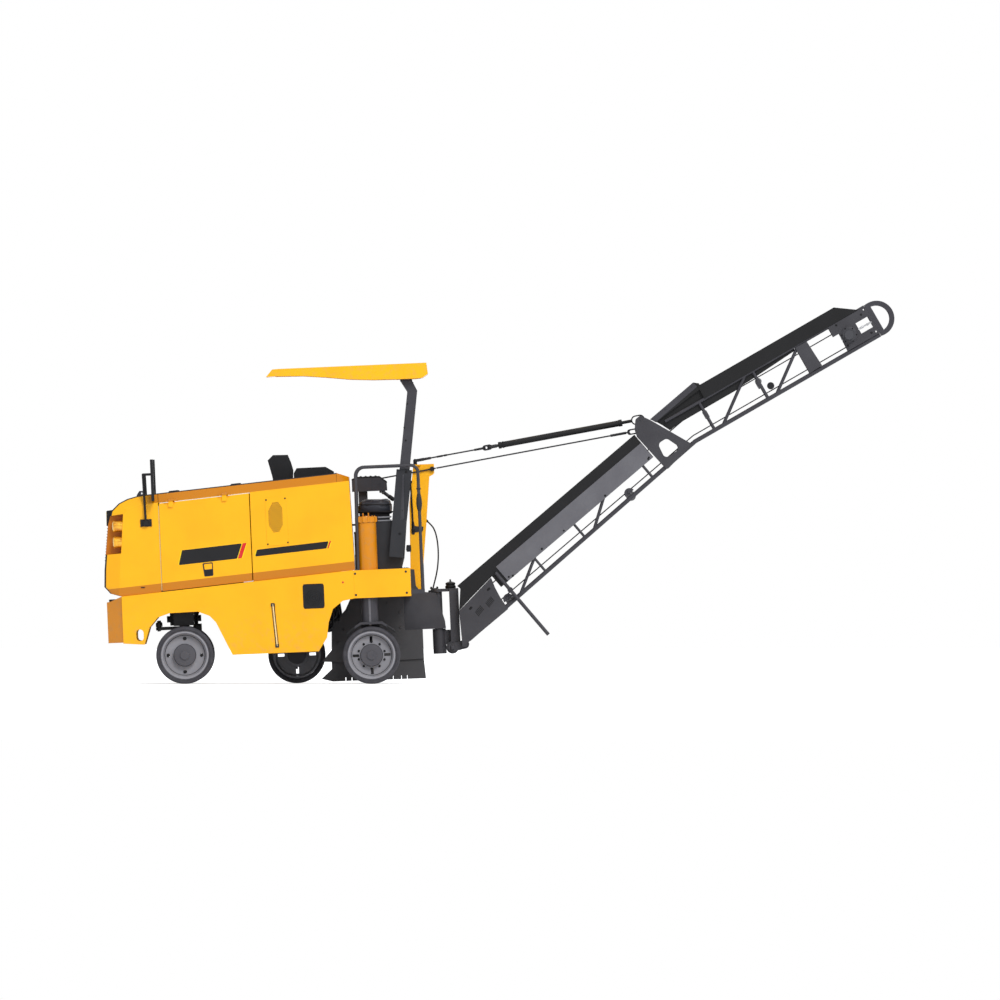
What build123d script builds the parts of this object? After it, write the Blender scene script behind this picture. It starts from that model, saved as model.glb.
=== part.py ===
from build123d import *
from math import atan2, cos, degrees, hypot, radians, sin, tan
import os

# Cold planer: a small road milling machine with a rear loading conveyor.
#
# Everything above the wheels is drawn in the level frame of the machine's body, in millimetres:
#   +X forward, +Y to the machine's left, +Z up, y = 0 on the body's middle.
# The body stands nose down by BODY_PITCH on its lifting columns, so every finished shape is
# turned by settle(). The wheels are placed on the level ground and brought into the body frame.

# ---------------------------------------------------------------- driving dimensions

BODY_PITCH = 2.4  # degrees, nose down
SKIN = 10.0  # doors and hood panels, with their folded edges
PLATE = 20.0  # frame and skirt plates
PANEL_GAP = 6.0  # open joint round doors
SEAT_GAP = 0.3  # between a piece and the seat it is bolted to, where one of them is round
RUN_GAP = 0.06  # radial clearance of a shaft in its bore
SWING_GAP = 6.0  # between pieces that move past each other

BODY_HALF_WIDTH = 650.0
NOSE_X = 3639.0
HOOD_FRONT_X = 3483.0  # where the hood's bottom edge starts
HOOD_REAR_X = 1303.0
DECK_REAR_X = 790.0
DECK_FRONT_X = 1317.0
HOOD_FRONT_Z = 959.0
DECK_Z = 1112.0  # top of the rear deck
DECK_BOTTOM_Z = 852.0
HOOD_RISE = 4.13  # degrees that the hood's lines climb towards the rear
HOOD_BAND = 81.0  # height of the slanted band along the hood's bottom
HOOD_CREASE = 830.0  # height of the edge between hood side and hood top
HOOD_TOP = 916.0
HOOD_TOP_HALF_WIDTH = 590.0  # flat black part of the hood
BAND_TUCK = 15.0  # the hood is this much narrower at its bottom edge
SEAM_FRONT_X = 3106.0
SEAM_REAR_X = 2254.0
BLACK_TOP_REAR_X = 1440.0

RAIL_Y = 260.0  # centre of each frame rail
RAIL_WIDTH = 60.0
RAIL_BOTTOM_Z = 850.0
RAIL_TOP_Z = 934.0
FLOOR_PLATE = 10.0
SKIRT_BOTTOM_Z = 374.0

WHEEL_RADIUS = 267.5
WHEEL_WIDTH = 200.0
TYRE_DEPTH = 45.5  # rubber on the rim
RIM_RADIUS = WHEEL_RADIUS - TYRE_DEPTH
RIM_WIDTH = 186.0
HUB_BORE_RADIUS = 35.0
HUB_DISC_RADIUS = 103.0
WHEEL_Y = 540.0
FRONT_AXLE_X = 2931.0  # on the ground's level frame
REAR_AXLE_X = 1194.0
SWUNG_IN_X = 1897.0
KINGPIN_Y = 385.0
KINGPIN_RADIUS = 42.0
AXLE_BEAM_DEPTH = 120.0
AXLE_CLEAR = 10.0  # from the tyre's top to the underside of the axle beam
STEER_ARM = 235.0

DRUM_WIDTH = 500.0
DRUM_CORE_RADIUS = 200.0
DRUM_TIP_RADIUS = 252.0
DRUM_Z = 283.0  # axis above the ground
DRUM_X = 1130.0
HOUSING_RIGHT_Y = -600.0  # outer face of the housing, in line with the road edge
HOUSING_PLATE = 15.0
SIDE_PLATE = 14.0

COLUMN_RADIUS = 92.0
COLUMN_TOP_Z = 1606.0
COLUMN_TUBE_RADIUS = 76.0
COLUMN_BOTTOM_Z = DECK_BOTTOM_Z + 4
COLUMN_FOOT_Z = 660.0
SWING_HINGE_X = 1533.0
SWING_HINGE_Y = -603.0
SWUNG_IN_Y = -478.0

SLEW_X = 546.0
SLEW_Y = -280.0
LUFF_X = 428.0
LUFF_Z = 354.0
KING_RADIUS = 40.0
LUFF_PIN_RADIUS = 20.0

CHEEK = 24.0

CONVEYOR_HALF_WIDTH = 215.0  # to the inside of its side plates
LOWER_SLOPE = 38.1  # degrees, body frame
UPPER_SLOPE = 27.6
LOWER_LENGTH = 2969.0  # from the luff pin to the bend of the bottom chord
LOWER_CHORD_RISE = 36.0  # the bottom chord draws near the belt line by this much
UPPER_LENGTH = 1992.0
CHORD_RADIUS = 20.0
TOP_CHORD_RADIUS = 15.0
BELT_WIDTH = 350.0
BELT_THICK = 10.0
PULLEY_RADIUS = 80.0
LOWER_BELT_LINE = 130.0  # pulley centres above the line through the luff pin
UPPER_BELT_LINE = 141.0  # the same above the upper section's bottom chord
BOARD_TOP = 408.0
UPPER_BOARD_TOP = 436.0
CHORD_GAP = 300.0  # between the bottom and top chord of the upper section
POST_RADIUS = 14.0  # posts, ties and diagonals between the chords
UPPER_POST_P = 791.0

MAST_WIDTH = 120.0
WIRE_BESIDE_MAST = 15.0  # from the mast's left face to the wire's middle
EYE_X = 549.0
EYE_Z = 2026.0
STAY_X = 705.0
STAY_Z = 2108.0
WIRE_RADIUS = 7.0

CANOPY_HALF_WIDTH = 640.0
POST_Y = 530.0
POST_WIDTH = 60.0
CANOPY_FOOT_Z = 2870.0  # where the canopy is bolted to its posts
RAIL_TUBE_RADIUS = 15.0
HANDRAIL_Y = 615.0

# ---------------------------------------------------------------- helpers


def settle(shape):
    """Turn a shape from the body's level frame to the way the body stands."""
    return Rot(0, BODY_PITCH, 0) * shape


def from_ground(x, z):
    """A point given above the level ground, in the body's frame."""
    a = radians(BODY_PITCH)
    return (x * cos(a) - z * sin(a), x * sin(a) + z * cos(a))


def slab(x0, x1, y0, y1, z0, z1):
    """A box between six limits."""
    return Pos((x0 + x1) / 2, (y0 + y1) / 2, (z0 + z1) / 2) * Box(abs(x1 - x0), abs(y1 - y0), abs(z1 - z0))


def block_between(x0, x1, y0, y1, z0, z1):
    """A box whose limits may come in any order."""
    return slab(min(x0, x1), max(x0, x1), min(y0, y1), max(y0, y1), min(z0, z1), max(z0, z1))


def ball(centre, radius):
    return Pos(*centre) * Sphere(radius)


def side_plate(points, y0, y1):
    """A plate with its outline in X and Z, between two Y values."""
    low, high = min(y0, y1), max(y0, y1)
    return extrude(Plane.XZ.offset(-low) * Polygon(*points, align=None), high - low, dir=(0, 1, 0))


def plan_plate(points, z0, z1):
    """A plate with its outline in X and Y, between two heights."""
    return extrude(Pos(0, 0, z0) * Polygon(*points, align=None), z1 - z0, dir=(0, 0, 1))


def rod(start, end, radius):
    """A round bar from point to point."""
    a, b = Vector(*start), Vector(*end)
    plane = Plane(origin=a, z_dir=b - a)
    return plane * Cylinder(radius, (b - a).length, align=(Align.CENTER, Align.CENTER, Align.MIN))


def pipe(start, end, radius, bore):
    """A round tube from point to point."""
    return rod(start, end, radius) - rod(start, end, bore)


def cross_bar(x, z, y0, y1, radius):
    """A round bar that lies across the machine."""
    return rod((x, min(y0, y1), z), (x, max(y0, y1), z), radius)


def link(a, b, radius, y0, y1):
    """A flat link with round ends, from point a to point b in X and Z."""
    length = hypot(b[0] - a[0], b[1] - a[1])
    turn = degrees(atan2(b[1] - a[1], b[0] - a[0]))
    bar = Pos((a[0] + b[0]) / 2, (y0 + y1) / 2, (a[1] + b[1]) / 2) * Rot(0, -turn, 0)
    ends = cross_bar(*a, y0, y1, radius) + cross_bar(*b, y0, y1, radius)
    return bar * Box(length, abs(y1 - y0), 2 * radius) + ends


def bent_tube(points, radii, radius, bore=0):
    """A tube along straight runs joined by tangent arcs."""
    path = FilletPolyline(*points, radius=radii)
    ring = Circle(radius) - Circle(bore) if bore else Circle(radius)
    start = Plane(origin=path @ 0, z_dir=path % 0)
    return sweep(start * ring, path=path)


def hood_at(run, rise):
    """A point on the hood: run back from its front foot along its lines, rise square to them."""
    a = radians(HOOD_RISE)
    return (HOOD_FRONT_X - run * cos(a) + rise * sin(a), HOOD_FRONT_Z + run * sin(a) + rise * cos(a))


def hood_run(x):
    """How far back along the hood's lines a station X lies."""
    return (HOOD_FRONT_X - x) / cos(radians(HOOD_RISE))


def lower(u, v):
    """A point of the conveyor's lower section: u along it from the luff pin, v square to it."""
    a = radians(LOWER_SLOPE)
    return (LUFF_X - u * cos(a) + v * sin(a), LUFF_Z + u * sin(a) + v * cos(a))


BEND = lower(LOWER_LENGTH, LOWER_CHORD_RISE - 44)


def upper(p, q):
    """A point of the conveyor's upper section: p along it from the bend, q square to it."""
    a = radians(UPPER_SLOPE)
    return (BEND[0] - p * cos(a) + q * sin(a), BEND[1] + p * sin(a) + q * cos(a))


NODES = {}


def keep(name, *pieces):
    """Store a finished node, turned to the way the body stands. Several pieces stay apart."""
    NODES[name] = settle(pieces[0]) if len(pieces) == 1 else Compound(children=[settle(p) for p in pieces])


# ---------------------------------------------------------------- frame and skirts

front_wheel = from_ground(FRONT_AXLE_X, WHEEL_RADIUS)
rear_wheel = from_ground(REAR_AXLE_X, WHEEL_RADIUS)
swung_wheel = from_ground(SWUNG_IN_X, WHEEL_RADIUS)
inner_skirt = BODY_HALF_WIDTH - PLATE


def skirt_top(x):
    """Height of the skirt's top edge, just under the hood."""
    return HOOD_FRONT_Z + (HOOD_FRONT_X - x) * tan(radians(HOOD_RISE)) - SEAT_GAP


def skirt_outline():
    """Outline of a skirt plate, with the front wheel's arch and the cut-away for the rear wheel."""
    ax = front_wheel[0]
    return [
        (HOOD_FRONT_X, skirt_top(HOOD_FRONT_X)),
        (DECK_FRONT_X + SEAT_GAP, skirt_top(DECK_FRONT_X)),
        (DECK_FRONT_X + SEAT_GAP, DECK_BOTTOM_Z),
        (1427, DECK_BOTTOM_Z - 18),
        (1523, 761),
        (1567, 639),
        (1588, 501),
        (1671, SKIRT_BOTTOM_Z),
        (ax - 444, SKIRT_BOTTOM_Z),
        (ax - 302, 683),
        (ax - 243, 747),
        (ax - 137, 790),
        (ax + 125, 786),
        (ax + 235, 752),
        (ax + 316, 662),
        (ax + 369, 503),
        (HOOD_FRONT_X, 521),
    ]


BUMPER_X = NOSE_X - 15  # front face
BUMPER_INNER_X = BUMPER_X - PLATE
BUMPER_CHAMFER = 150.0
BUMPER_START_X = HOOD_FRONT_X - 13  # where its corners meet the skirts


def frame():
    # floor of the engine bay, cut at the front corners like the bumper, and the two bulkheads
    floor = [(1690, inner_skirt), (BUMPER_START_X - 30, inner_skirt)]
    floor += [(BUMPER_INNER_X, inner_skirt - BUMPER_CHAMFER - 15)]
    floor += [(x, -y) for x, y in reversed(floor)]
    shape = plan_plate(floor, RAIL_TOP_Z - FLOOR_PLATE, RAIL_TOP_Z)
    for side in (-1, 1):
        y0, y1 = side * RAIL_Y - RAIL_WIDTH / 2, side * RAIL_Y + RAIL_WIDTH / 2
        shape += slab(DECK_REAR_X + 20, BUMPER_INNER_X, y0, y1, RAIL_BOTTOM_Z, RAIL_TOP_Z)
    shape += slab(3555, 3585, -470, 470, 560, RAIL_TOP_Z)
    shape += slab(1660, 1690, -330, inner_skirt, 400, RAIL_TOP_Z)
    # bracket of the right lifting column
    low, high = COLUMN_BOTTOM_Z + 4, RAIL_TOP_Z - 6
    bracket = slab(SWING_HINGE_X - 70, SWING_HINGE_X + 70, SWING_HINGE_Y, -RAIL_Y, low, high)
    column = (SWING_HINGE_X, SWING_HINGE_Y)
    shape += bracket - rod((*column, 700), (*column, 1100), COLUMN_RADIUS + SEAT_GAP)
    # the two hangers of the front axle with its fore-and-aft pin
    beam_z = axle_beam_z()
    for x in (front_wheel[0] - 130, front_wheel[0] + 95):
        shape += slab(x, x + 35, -110, 110, beam_z - 60, RAIL_BOTTOM_Z + 5)
        shape += slab(x, x + 35, -RAIL_Y, RAIL_Y, RAIL_BOTTOM_Z - 40, RAIL_BOTTOM_Z + 5)
    shape += rod((front_wheel[0] - 160, 0, beam_z), (front_wheel[0] + 160, 0, beam_z), 30)
    return shape


def axle_beam_z():
    return front_wheel[1] + WHEEL_RADIUS + AXLE_CLEAR + AXLE_BEAM_DEPTH / 2


SKIRT_CUT = (inner_skirt - 20, BODY_HALF_WIDTH + 20)  # a cut right through the skirt's sheet
FRONT_EYE_X = 3326.0
FRONT_EYE = (572, 612)  # the centres of the tie-down slot's two round ends
FRONT_EYE_RADIUS = 34.0


def front_eye(y0, y1):
    """The upright slot in the skirt's front corner for tying the machine down."""
    low, high = FRONT_EYE
    slot = slab(FRONT_EYE_X - FRONT_EYE_RADIUS, FRONT_EYE_X + FRONT_EYE_RADIUS, y0, y1, low, high)
    for z in FRONT_EYE:
        slot += cross_bar(FRONT_EYE_X, z, y0, y1, FRONT_EYE_RADIUS)
    return slot


def left_skirt():
    plate = side_plate(skirt_outline(), inner_skirt, BODY_HALF_WIDTH) - front_eye(*SKIRT_CUT)
    plate -= slab(1605, 1791, BODY_HALF_WIDTH - 8, BODY_HALF_WIDTH + 5, 772, 1004)
    plate -= slab(2061, 2073, BODY_HALF_WIDTH - 8, BODY_HALF_WIDTH + 5, 430, 830)
    return plate


def right_skirt():
    outer, inner = -SKIRT_CUT[1], -SKIRT_CUT[0]
    plate = side_plate(skirt_outline(), -inner_skirt, -BODY_HALF_WIDTH) - front_eye(outer, inner)
    # open niche for the swing-in wheel and its leg
    niche_front = swung_wheel[0] + WHEEL_RADIUS + 60
    plate -= slab(1200, niche_front, outer, inner, 300, COLUMN_FOOT_Z + 120)
    # the right lifting column stands in the skirt's line
    plate -= slab(1200, SWING_HINGE_X + COLUMN_RADIUS + 12, outer, inner, 300, 1300)
    return plate


def bumper():
    outer, inner = BODY_HALF_WIDTH, BODY_HALF_WIDTH - PLATE * 0.8
    outline = [
        (BUMPER_START_X, outer),
        (BUMPER_X, outer - BUMPER_CHAMFER),
        (BUMPER_X, BUMPER_CHAMFER - outer),
        (BUMPER_START_X, -outer),
        (BUMPER_START_X, -inner),
        (BUMPER_INNER_X, BUMPER_CHAMFER - inner),
        (BUMPER_INNER_X, inner - BUMPER_CHAMFER),
        (BUMPER_START_X, inner),
    ]
    plate = plan_plate(outline, 530, 1100)
    trim = [(3700, 902), (3599, 912), (HOOD_FRONT_X, skirt_top(HOOD_FRONT_X)), (3400, 1200), (3700, 1200)]
    plate -= side_plate(trim, -800, 800)
    return plate & slab(HOOD_FRONT_X, 3700, -800, 800, 500, 1100)


def tank():
    low, high = SKIRT_BOTTOM_Z + 20, RAIL_TOP_Z - FLOOR_PLATE
    return slab(1700, front_wheel[0] - 470, 340, inner_skirt - 2, low, high)


def rear_deck():
    top = slab(DECK_REAR_X, DECK_FRONT_X, -BODY_HALF_WIDTH, BODY_HALF_WIDTH, DECK_Z - 12, DECK_Z)
    shape = top
    for side in (-1, 1):
        y0, y1 = sorted((side * BODY_HALF_WIDTH, side * (BODY_HALF_WIDTH - 12)))
        shape += slab(DECK_REAR_X, DECK_FRONT_X, y0, y1, DECK_BOTTOM_Z, DECK_Z)
    shape += slab(DECK_REAR_X, DECK_REAR_X + 12, -BODY_HALF_WIDTH, BODY_HALF_WIDTH, DECK_BOTTOM_Z, DECK_Z)
    shape += slab(DECK_FRONT_X - 12, DECK_FRONT_X, -BODY_HALF_WIDTH + 60, BODY_HALF_WIDTH, RAIL_TOP_Z, DECK_Z)
    # the left lifting column passes through the deck
    shape -= rod((rear_wheel[0], WHEEL_Y, 800), (rear_wheel[0], WHEEL_Y, 1200), COLUMN_RADIUS + SEAT_GAP)
    for y in (-RAIL_Y, RAIL_Y):
        rail_slot = slab(780, 1330, y - RAIL_WIDTH / 2, y + RAIL_WIDTH / 2, RAIL_BOTTOM_Z - 20, RAIL_TOP_Z)
        shape -= rail_slot
    for y in (-RAIL_Y, RAIL_Y):
        shape += slab(DECK_REAR_X + 12, DECK_FRONT_X, y - 10, y + 10, RAIL_TOP_Z, DECK_Z - 6)
    return shape


keep("chassis_frame", frame() + tank())
keep("skirts", left_skirt(), right_skirt())
keep("front_bumper", bumper())
keep("rear_deck", rear_deck())

# ---------------------------------------------------------------- hood

# Outlines of the hood seen from the side, point for point: the yellow cheek at the full width,
# and the black middle part, which stands proud of it.
CHEEK_OUTLINE = [
    (HOOD_FRONT_X, HOOD_FRONT_Z),
    (3485, 971),
    (3498, 1047),
    (3487, 1207),
    (3462, 1563),
    (3441, 1701),
    (3401, 1758),
    (3314, 1789),
    (3240, 1805),
    hood_at(hood_run(3106) - 60, HOOD_CREASE),
    hood_at(hood_run(BLACK_TOP_REAR_X) + 60, HOOD_CREASE),
    hood_at(hood_run(1326) + 60, HOOD_CREASE),
    (HOOD_REAR_X, skirt_top(HOOD_REAR_X) + SEAT_GAP),
]
MIDDLE_OUTLINE = [
    (HOOD_FRONT_X, HOOD_FRONT_Z),
    (3585, 990),
    (NOSE_X, 1054),
    (NOSE_X - 8, 1213),
    (3583, 1622),
    (3545, 1759),
    (3473, 1826),
    (3391, 1865),
    (3310, 1885),
    hood_at(hood_run(3106) - 66, HOOD_TOP),
    hood_at(hood_run(BLACK_TOP_REAR_X) + 66, HOOD_TOP),
    hood_at(hood_run(1324) + 62, HOOD_TOP - 50),
    (HOOD_REAR_X, skirt_top(HOOD_REAR_X) + SEAT_GAP),
]


def outline_face(points, y):
    return Plane.XZ.offset(-y) * Polygon(*points, align=None)


def hood_prism(points, run0, run1):
    """A prism along the hood's lines. points are (half width, rise)."""
    right = [(-y, h) for y, h in reversed(points)]
    start = hood_at(run0, 0)
    a = radians(HOOD_RISE)
    plane = Plane(origin=(start[0], 0, start[1]), x_dir=(0, 1, 0), z_dir=(-cos(a), 0, sin(a)))
    outline = [(y, -h) for y, h in list(points) + right]
    return extrude(plane * Polygon(*outline, align=None), run1 - run0, dir=plane.z_dir)


def hood_outer():
    shape = side_plate(MIDDLE_OUTLINE, -HOOD_TOP_HALF_WIDTH, HOOD_TOP_HALF_WIDTH)
    for side in (-1, 1):
        inner = outline_face(MIDDLE_OUTLINE, side * HOOD_TOP_HALF_WIDTH)
        outer = outline_face(CHEEK_OUTLINE, side * BODY_HALF_WIDTH)
        shape += loft([inner, outer], ruled=True)
    narrow = BODY_HALF_WIDTH - BAND_TUCK
    section = [(narrow, -30), (narrow, 0), (BODY_HALF_WIDTH, HOOD_BAND), (BODY_HALF_WIDTH, 1100)]
    return shape & hood_prism(section, -400, 2600)


def hood_cavity():
    wide = BODY_HALF_WIDTH - SKIN
    narrow = wide - BAND_TUCK
    section = [
        (narrow, -60),
        (narrow, 0),
        (wide, HOOD_BAND),
        (wide, HOOD_CREASE - SKIN),
        (HOOD_TOP_HALF_WIDTH - 6, HOOD_TOP - SKIN - 2),
    ]
    bay = hood_prism(section, hood_run(3106) - 80, hood_run(HOOD_REAR_X) - 30)
    step = 14.0
    nose = [
        (3120, 900),
        (3585 - step, 900),
        (3585 - step, 1000),
        (NOSE_X - step, 1054 + 8),
        (NOSE_X - 8 - step, 1213),
        (3583 - step, 1622),
        (3545 - step, 1750),
        (3473 - 8, 1826 - step),
        (3391, 1865 - step),
        (3310, 1885 - step),
        (3120, 1902 - step),
    ]
    cheek_nose = [(3120, 900), (3470, 900), (3480, 1047), (3469, 1207), (3444, 1563)]
    cheek_nose += [(3424, 1690), (3390, 1742), (3310, 1772), (3120, 1790)]
    nose_core = side_plate(nose, -HOOD_TOP_HALF_WIDTH + 14, HOOD_TOP_HALF_WIDTH - 14)
    return bay + nose_core + side_plate(cheek_nose, -BODY_HALF_WIDTH + 35, BODY_HALF_WIDTH - 35)


shell = hood_outer() - hood_cavity()
# the right lifting column stands in a recess of the rear hood, closed off by two walls
recess_front = SWING_HINGE_X + COLUMN_RADIUS + 24
recess_inner = SWING_HINGE_Y + COLUMN_RADIUS + 24
recess = slab(1200, recess_front, -800, recess_inner, 700, 2400)
walls = slab(HOOD_REAR_X - 5, recess_front + SKIN, -800, recess_inner + SKIN, 700, 2400) - recess
shell = (shell - recess) + (walls & hood_outer())

CREASE_CUT = HOOD_CREASE - 3
side_slab = hood_prism([(800, -100), (800, CREASE_CUT)], -400, 2600)
middle_slab = slab(0, 4000, -HOOD_TOP_HALF_WIDTH, HOOD_TOP_HALF_WIDTH, 0, 3000)
left_half = slab(0, 4000, 400, 900, 0, 3000)
right_half = slab(0, 4000, -900, -400, 0, 3000)
door_span = slab(SEAM_REAR_X + PANEL_GAP, SEAM_FRONT_X - PANEL_GAP, -900, 900, 0, 3000)
door_low = hood_prism([(800, PANEL_GAP), (800, CREASE_CUT - PANEL_GAP)], -400, 2600)
HINGE_Y = BODY_HALF_WIDTH + 14
HINGE_RUNS = (hood_run(2930), hood_run(2430))
hinge_rise = HOOD_CREASE + 6


def hinge_point(run, side):
    x, z = hood_at(run, hinge_rise)
    return (x, side * HINGE_Y, z)


def engine_door(side):
    half = left_half if side > 0 else right_half
    door = shell & door_span & door_low & half
    door += block_between(2621, 2714, side * (BODY_HALF_WIDTH - 14), side * (BODY_HALF_WIDTH - 1), 1123, 1243)
    for run in HINGE_RUNS:
        a, b = hinge_point(run - 22, side), hinge_point(run + 22, side)
        y0, y1 = sorted((side * (BODY_HALF_WIDTH - 2), side * (HINGE_Y + 4)))
        low = hinge_point(run, side)[2]
        door += rod(a, b, 13)
        door += slab(b[0], a[0], y0, y1, low - 60, low - 20)
        y0, y1 = sorted((side * (BODY_HALF_WIDTH + 2), side * (HINGE_Y + 4)))
        door += slab(b[0], a[0], y0, y1, low - 25, low)
        door -= rod(hinge_point(run - 40, side), hinge_point(run + 40, side), 7 + RUN_GAP)
    return door


def hood_top_cover():
    span = slab(BLACK_TOP_REAR_X, SEAM_FRONT_X - 2, -900, 900, 0, 3000)
    top = (shell - side_slab) & span
    for side in (-1, 1):
        for run in HINGE_RUNS:
            top += rod(hinge_point(run - 60, side), hinge_point(run + 60, side), 7)
            for ear in (-52, 30):
                a = hinge_point(run + ear, side)
                b = hinge_point(run + ear + 22, side)
                x0, x1 = sorted((a[0], b[0]))
                y0, y1 = sorted((side * (HOOD_TOP_HALF_WIDTH + 25), side * (HINGE_Y + 9)))
                top += slab(x0, x1, y0, y1, a[2] - 9, a[2] + 9)
    return top


nose_zone = slab(SEAM_FRONT_X + 2, 4000, -900, 900, 0, 3000)
# The two headlamps of each side stand in a pocket that is open to the front and to the side.
POCKET = [(3700, 1697), (3437, 1725), (3470, 1360), (3700, 1348)]
POCKET_SHEET = 8.0
POCKET_INNER_Y = 545.0
LAMP_RADIUS = 52.0
LAMP_FRONT_X = 3532.0
LAMPS = [(y, z) for y in (-599, 599) for z in (1466, 1614)]


def pocket(side, sheet):
    """The pocket's space, or with a sheet's thickness the block that its walls are cut from."""
    top, rear, low, front = POCKET
    outline = [
        (top[0], top[1] + sheet),
        (rear[0] - sheet, rear[1] + sheet),
        (low[0] - sheet, low[1] - sheet),
        (front[0], front[1] - sheet),
    ]
    return side_plate(outline, side * (POCKET_INNER_Y - sheet), side * 800)


nose_shell = shell & nose_zone
for side in (-1, 1):
    nose_shell += pocket(side, POCKET_SHEET) & hood_outer()
    nose_shell -= pocket(side, 0)
keep("nose_cowl", *(nose_shell - middle_slab).solids())
keep("front_grille", nose_shell & middle_slab)
keep("hood_top", hood_top_cover())
rear_span = slab(0, SEAM_REAR_X - 2, -900, 900, 0, 3000)
painted_top = slab(0, BLACK_TOP_REAR_X - 2, -900, 900, 0, 3000)
keep("rear_hood", shell & rear_span & (side_slab + painted_top))
keep("engine_door_left", engine_door(1))
keep("engine_door_right", engine_door(-1))
keep("engine_block", slab(2350, 3380, -330, 330, RAIL_TOP_Z, 1650))

# ---------------------------------------------------------------- small fittings on the hood


def hood_top_z(x):
    return hood_at(hood_run(x) - 66, HOOD_TOP)[1]


def air_intake():
    base = hood_top_z(1950)
    funnel = [(2076, 2168), (2025, 2216), (1888, 2213), (1860, 2140), (1842, 2067)]
    funnel += [(1850, base - 20), (2030, base - 20), (2040, 2020)]
    cover = [(1838, 2040), (1809, 2085), (1541, 2087), (1465, 2040), (1465, 1990), (1838, 1990)]
    return side_plate(funnel, -120, 180) - hood_outer(), side_plate(cover, -200, 260) - hood_outer()


LUG_Y = 470.0
LUG_EYE = (3262.0, 1911.0)
LUG_EYE_RADIUS = 12.0


def lugs():
    outline = [(3345, 1780), (3220, 1780), (3233, 1900), (3245, 1934), (3279, 1934), (3302, 1900)]
    made = []
    for y in (-LUG_Y, LUG_Y):
        plate = side_plate(outline, y - 10, y + 10)
        made.append((plate - cross_bar(*LUG_EYE, y - 30, y + 30, LUG_EYE_RADIUS)) - hood_outer())
    return made


def lamp(y, z):
    """One round headlamp that looks forward from its pocket's rear wall."""
    return rod((3400, y, z), (LAMP_FRONT_X, y, z), LAMP_RADIUS) & pocket(1 if y > 0 else -1, 0)


MIRROR_ARM_X = 3228.0
MIRROR_ARM_Y = BODY_HALF_WIDTH + 28
MIRROR_ARM_TOP_Z = 2085.0
MIRROR_ARM_RADIUS = 11.0
MIRROR_WIDTH = 150.0
MIRROR_HEIGHT = 387.0


def mirror(side):
    """A base plate and socket on the nose's side, a bent arm and a tall mirror that looks back."""
    face = side * BODY_HALF_WIDTH
    base = block_between(3173, 3279, face - side * 10, face + side * 10, 1600, 1668)
    base += block_between(3206, 3250, face, side * (MIRROR_ARM_Y + 12), 1610, 1650)
    elbow = (MIRROR_ARM_X + 9, side * MIRROR_ARM_Y, MIRROR_ARM_TOP_Z)
    arm = rod((MIRROR_ARM_X, side * MIRROR_ARM_Y, 1640), elbow, MIRROR_ARM_RADIUS)
    arm += ball(elbow, MIRROR_ARM_RADIUS)
    arm += rod(elbow, (3160, side * (MIRROR_ARM_Y + 22), MIRROR_ARM_TOP_Z), MIRROR_ARM_RADIUS)
    inner = side * (MIRROR_ARM_Y - 38)
    glass = block_between(3139, 3165, inner, inner + side * MIRROR_WIDTH, 1835, 1835 + MIRROR_HEIGHT)
    return base + arm + glass


keep("air_intake", *air_intake())
keep("lifting_lugs", *lugs())

# ---------------------------------------------------------------- operator's place


def seat_base():
    outline = [(805, 1560), (1095, 1560), (1095, DECK_Z), (870, DECK_Z), (842, 1206)]
    box = side_plate(outline, -480, 480)
    inner = [(817, 1548), (1083, 1548), (1083, DECK_Z - 5), (880, DECK_Z - 5), (854, 1206)]
    box -= side_plate(inner, -468, 468)
    return box + slab(960, 1200, 40, 380, 1560, 1640)


def console():
    pedestal = slab(1161, 1245, -210, -120, DECK_Z, 1850)
    outline = [(1303, 1957), (1252, 1975), (1045, 1975), (978, 1923), (975, 1842), (1303, 1842)]
    head = side_plate(outline, -250, -60)
    lever = rod((1040, -160, 1850), (916, -160, 1751), 16)
    return pedestal + head + lever


def handrail(side):
    y = side * HANDRAIL_Y
    points = [(1275, y, DECK_Z + SEAT_GAP), (1262, y, 2068), (681, y, 2068), (681, y, DECK_BOTTOM_Z + 30)]
    return bent_tube(points, [80, 70], RAIL_TUBE_RADIUS, 11)


def handrails():
    pieces = []
    for side in (-1, 1):
        rail = handrail(side)
        y0, y1 = sorted((side * (HANDRAIL_Y - 22), side * (HANDRAIL_Y + 22)))
        bracket = slab(DECK_REAR_X - 125, DECK_REAR_X - 0.2, y0, y1, DECK_BOTTOM_Z + 20, DECK_BOTTOM_Z + 60)
        foot = slab(1263, 1300, y0, y1, DECK_Z, DECK_Z + 12)
        inside = rod((1275, side * HANDRAIL_Y, DECK_Z - 5), (1274, side * HANDRAIL_Y, DECK_Z + 30), 11)
        pieces.append(rail + bracket + (foot - inside))
    return pieces


def post_socket(side):
    y0, y1 = sorted((side * (POST_Y - POST_WIDTH / 2 - 12), side * (POST_Y + POST_WIDTH / 2 + 12)))
    outline = [(878, 2037), (738, 2021), (855, 1211), (982, 1226)]
    socket = side_plate(outline, y0, y1)
    y2, y3 = sorted((side * (POST_Y - POST_WIDTH / 2 - 0.3), side * (POST_Y + POST_WIDTH / 2 + 0.3)))
    socket -= side_plate(post_outline(-0.3), y2, y3)
    inner_face = side * (POST_Y - POST_WIDTH / 2 - 12)
    y4, y5 = sorted((side * 480, inner_face))
    return socket + slab(850, 960, y4, y5, 1300, 1500)


def post_outline(inset):
    return [
        (940 - inset, 1380),
        (844 - inset, 2084),
        (749 - inset, 2750),
        (810 - inset, 2855),
        (701 + inset, 2855),
        (658 + inset, 2763),
        (752 + inset, 2086),
        (840 + inset, 1380),
    ]


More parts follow.
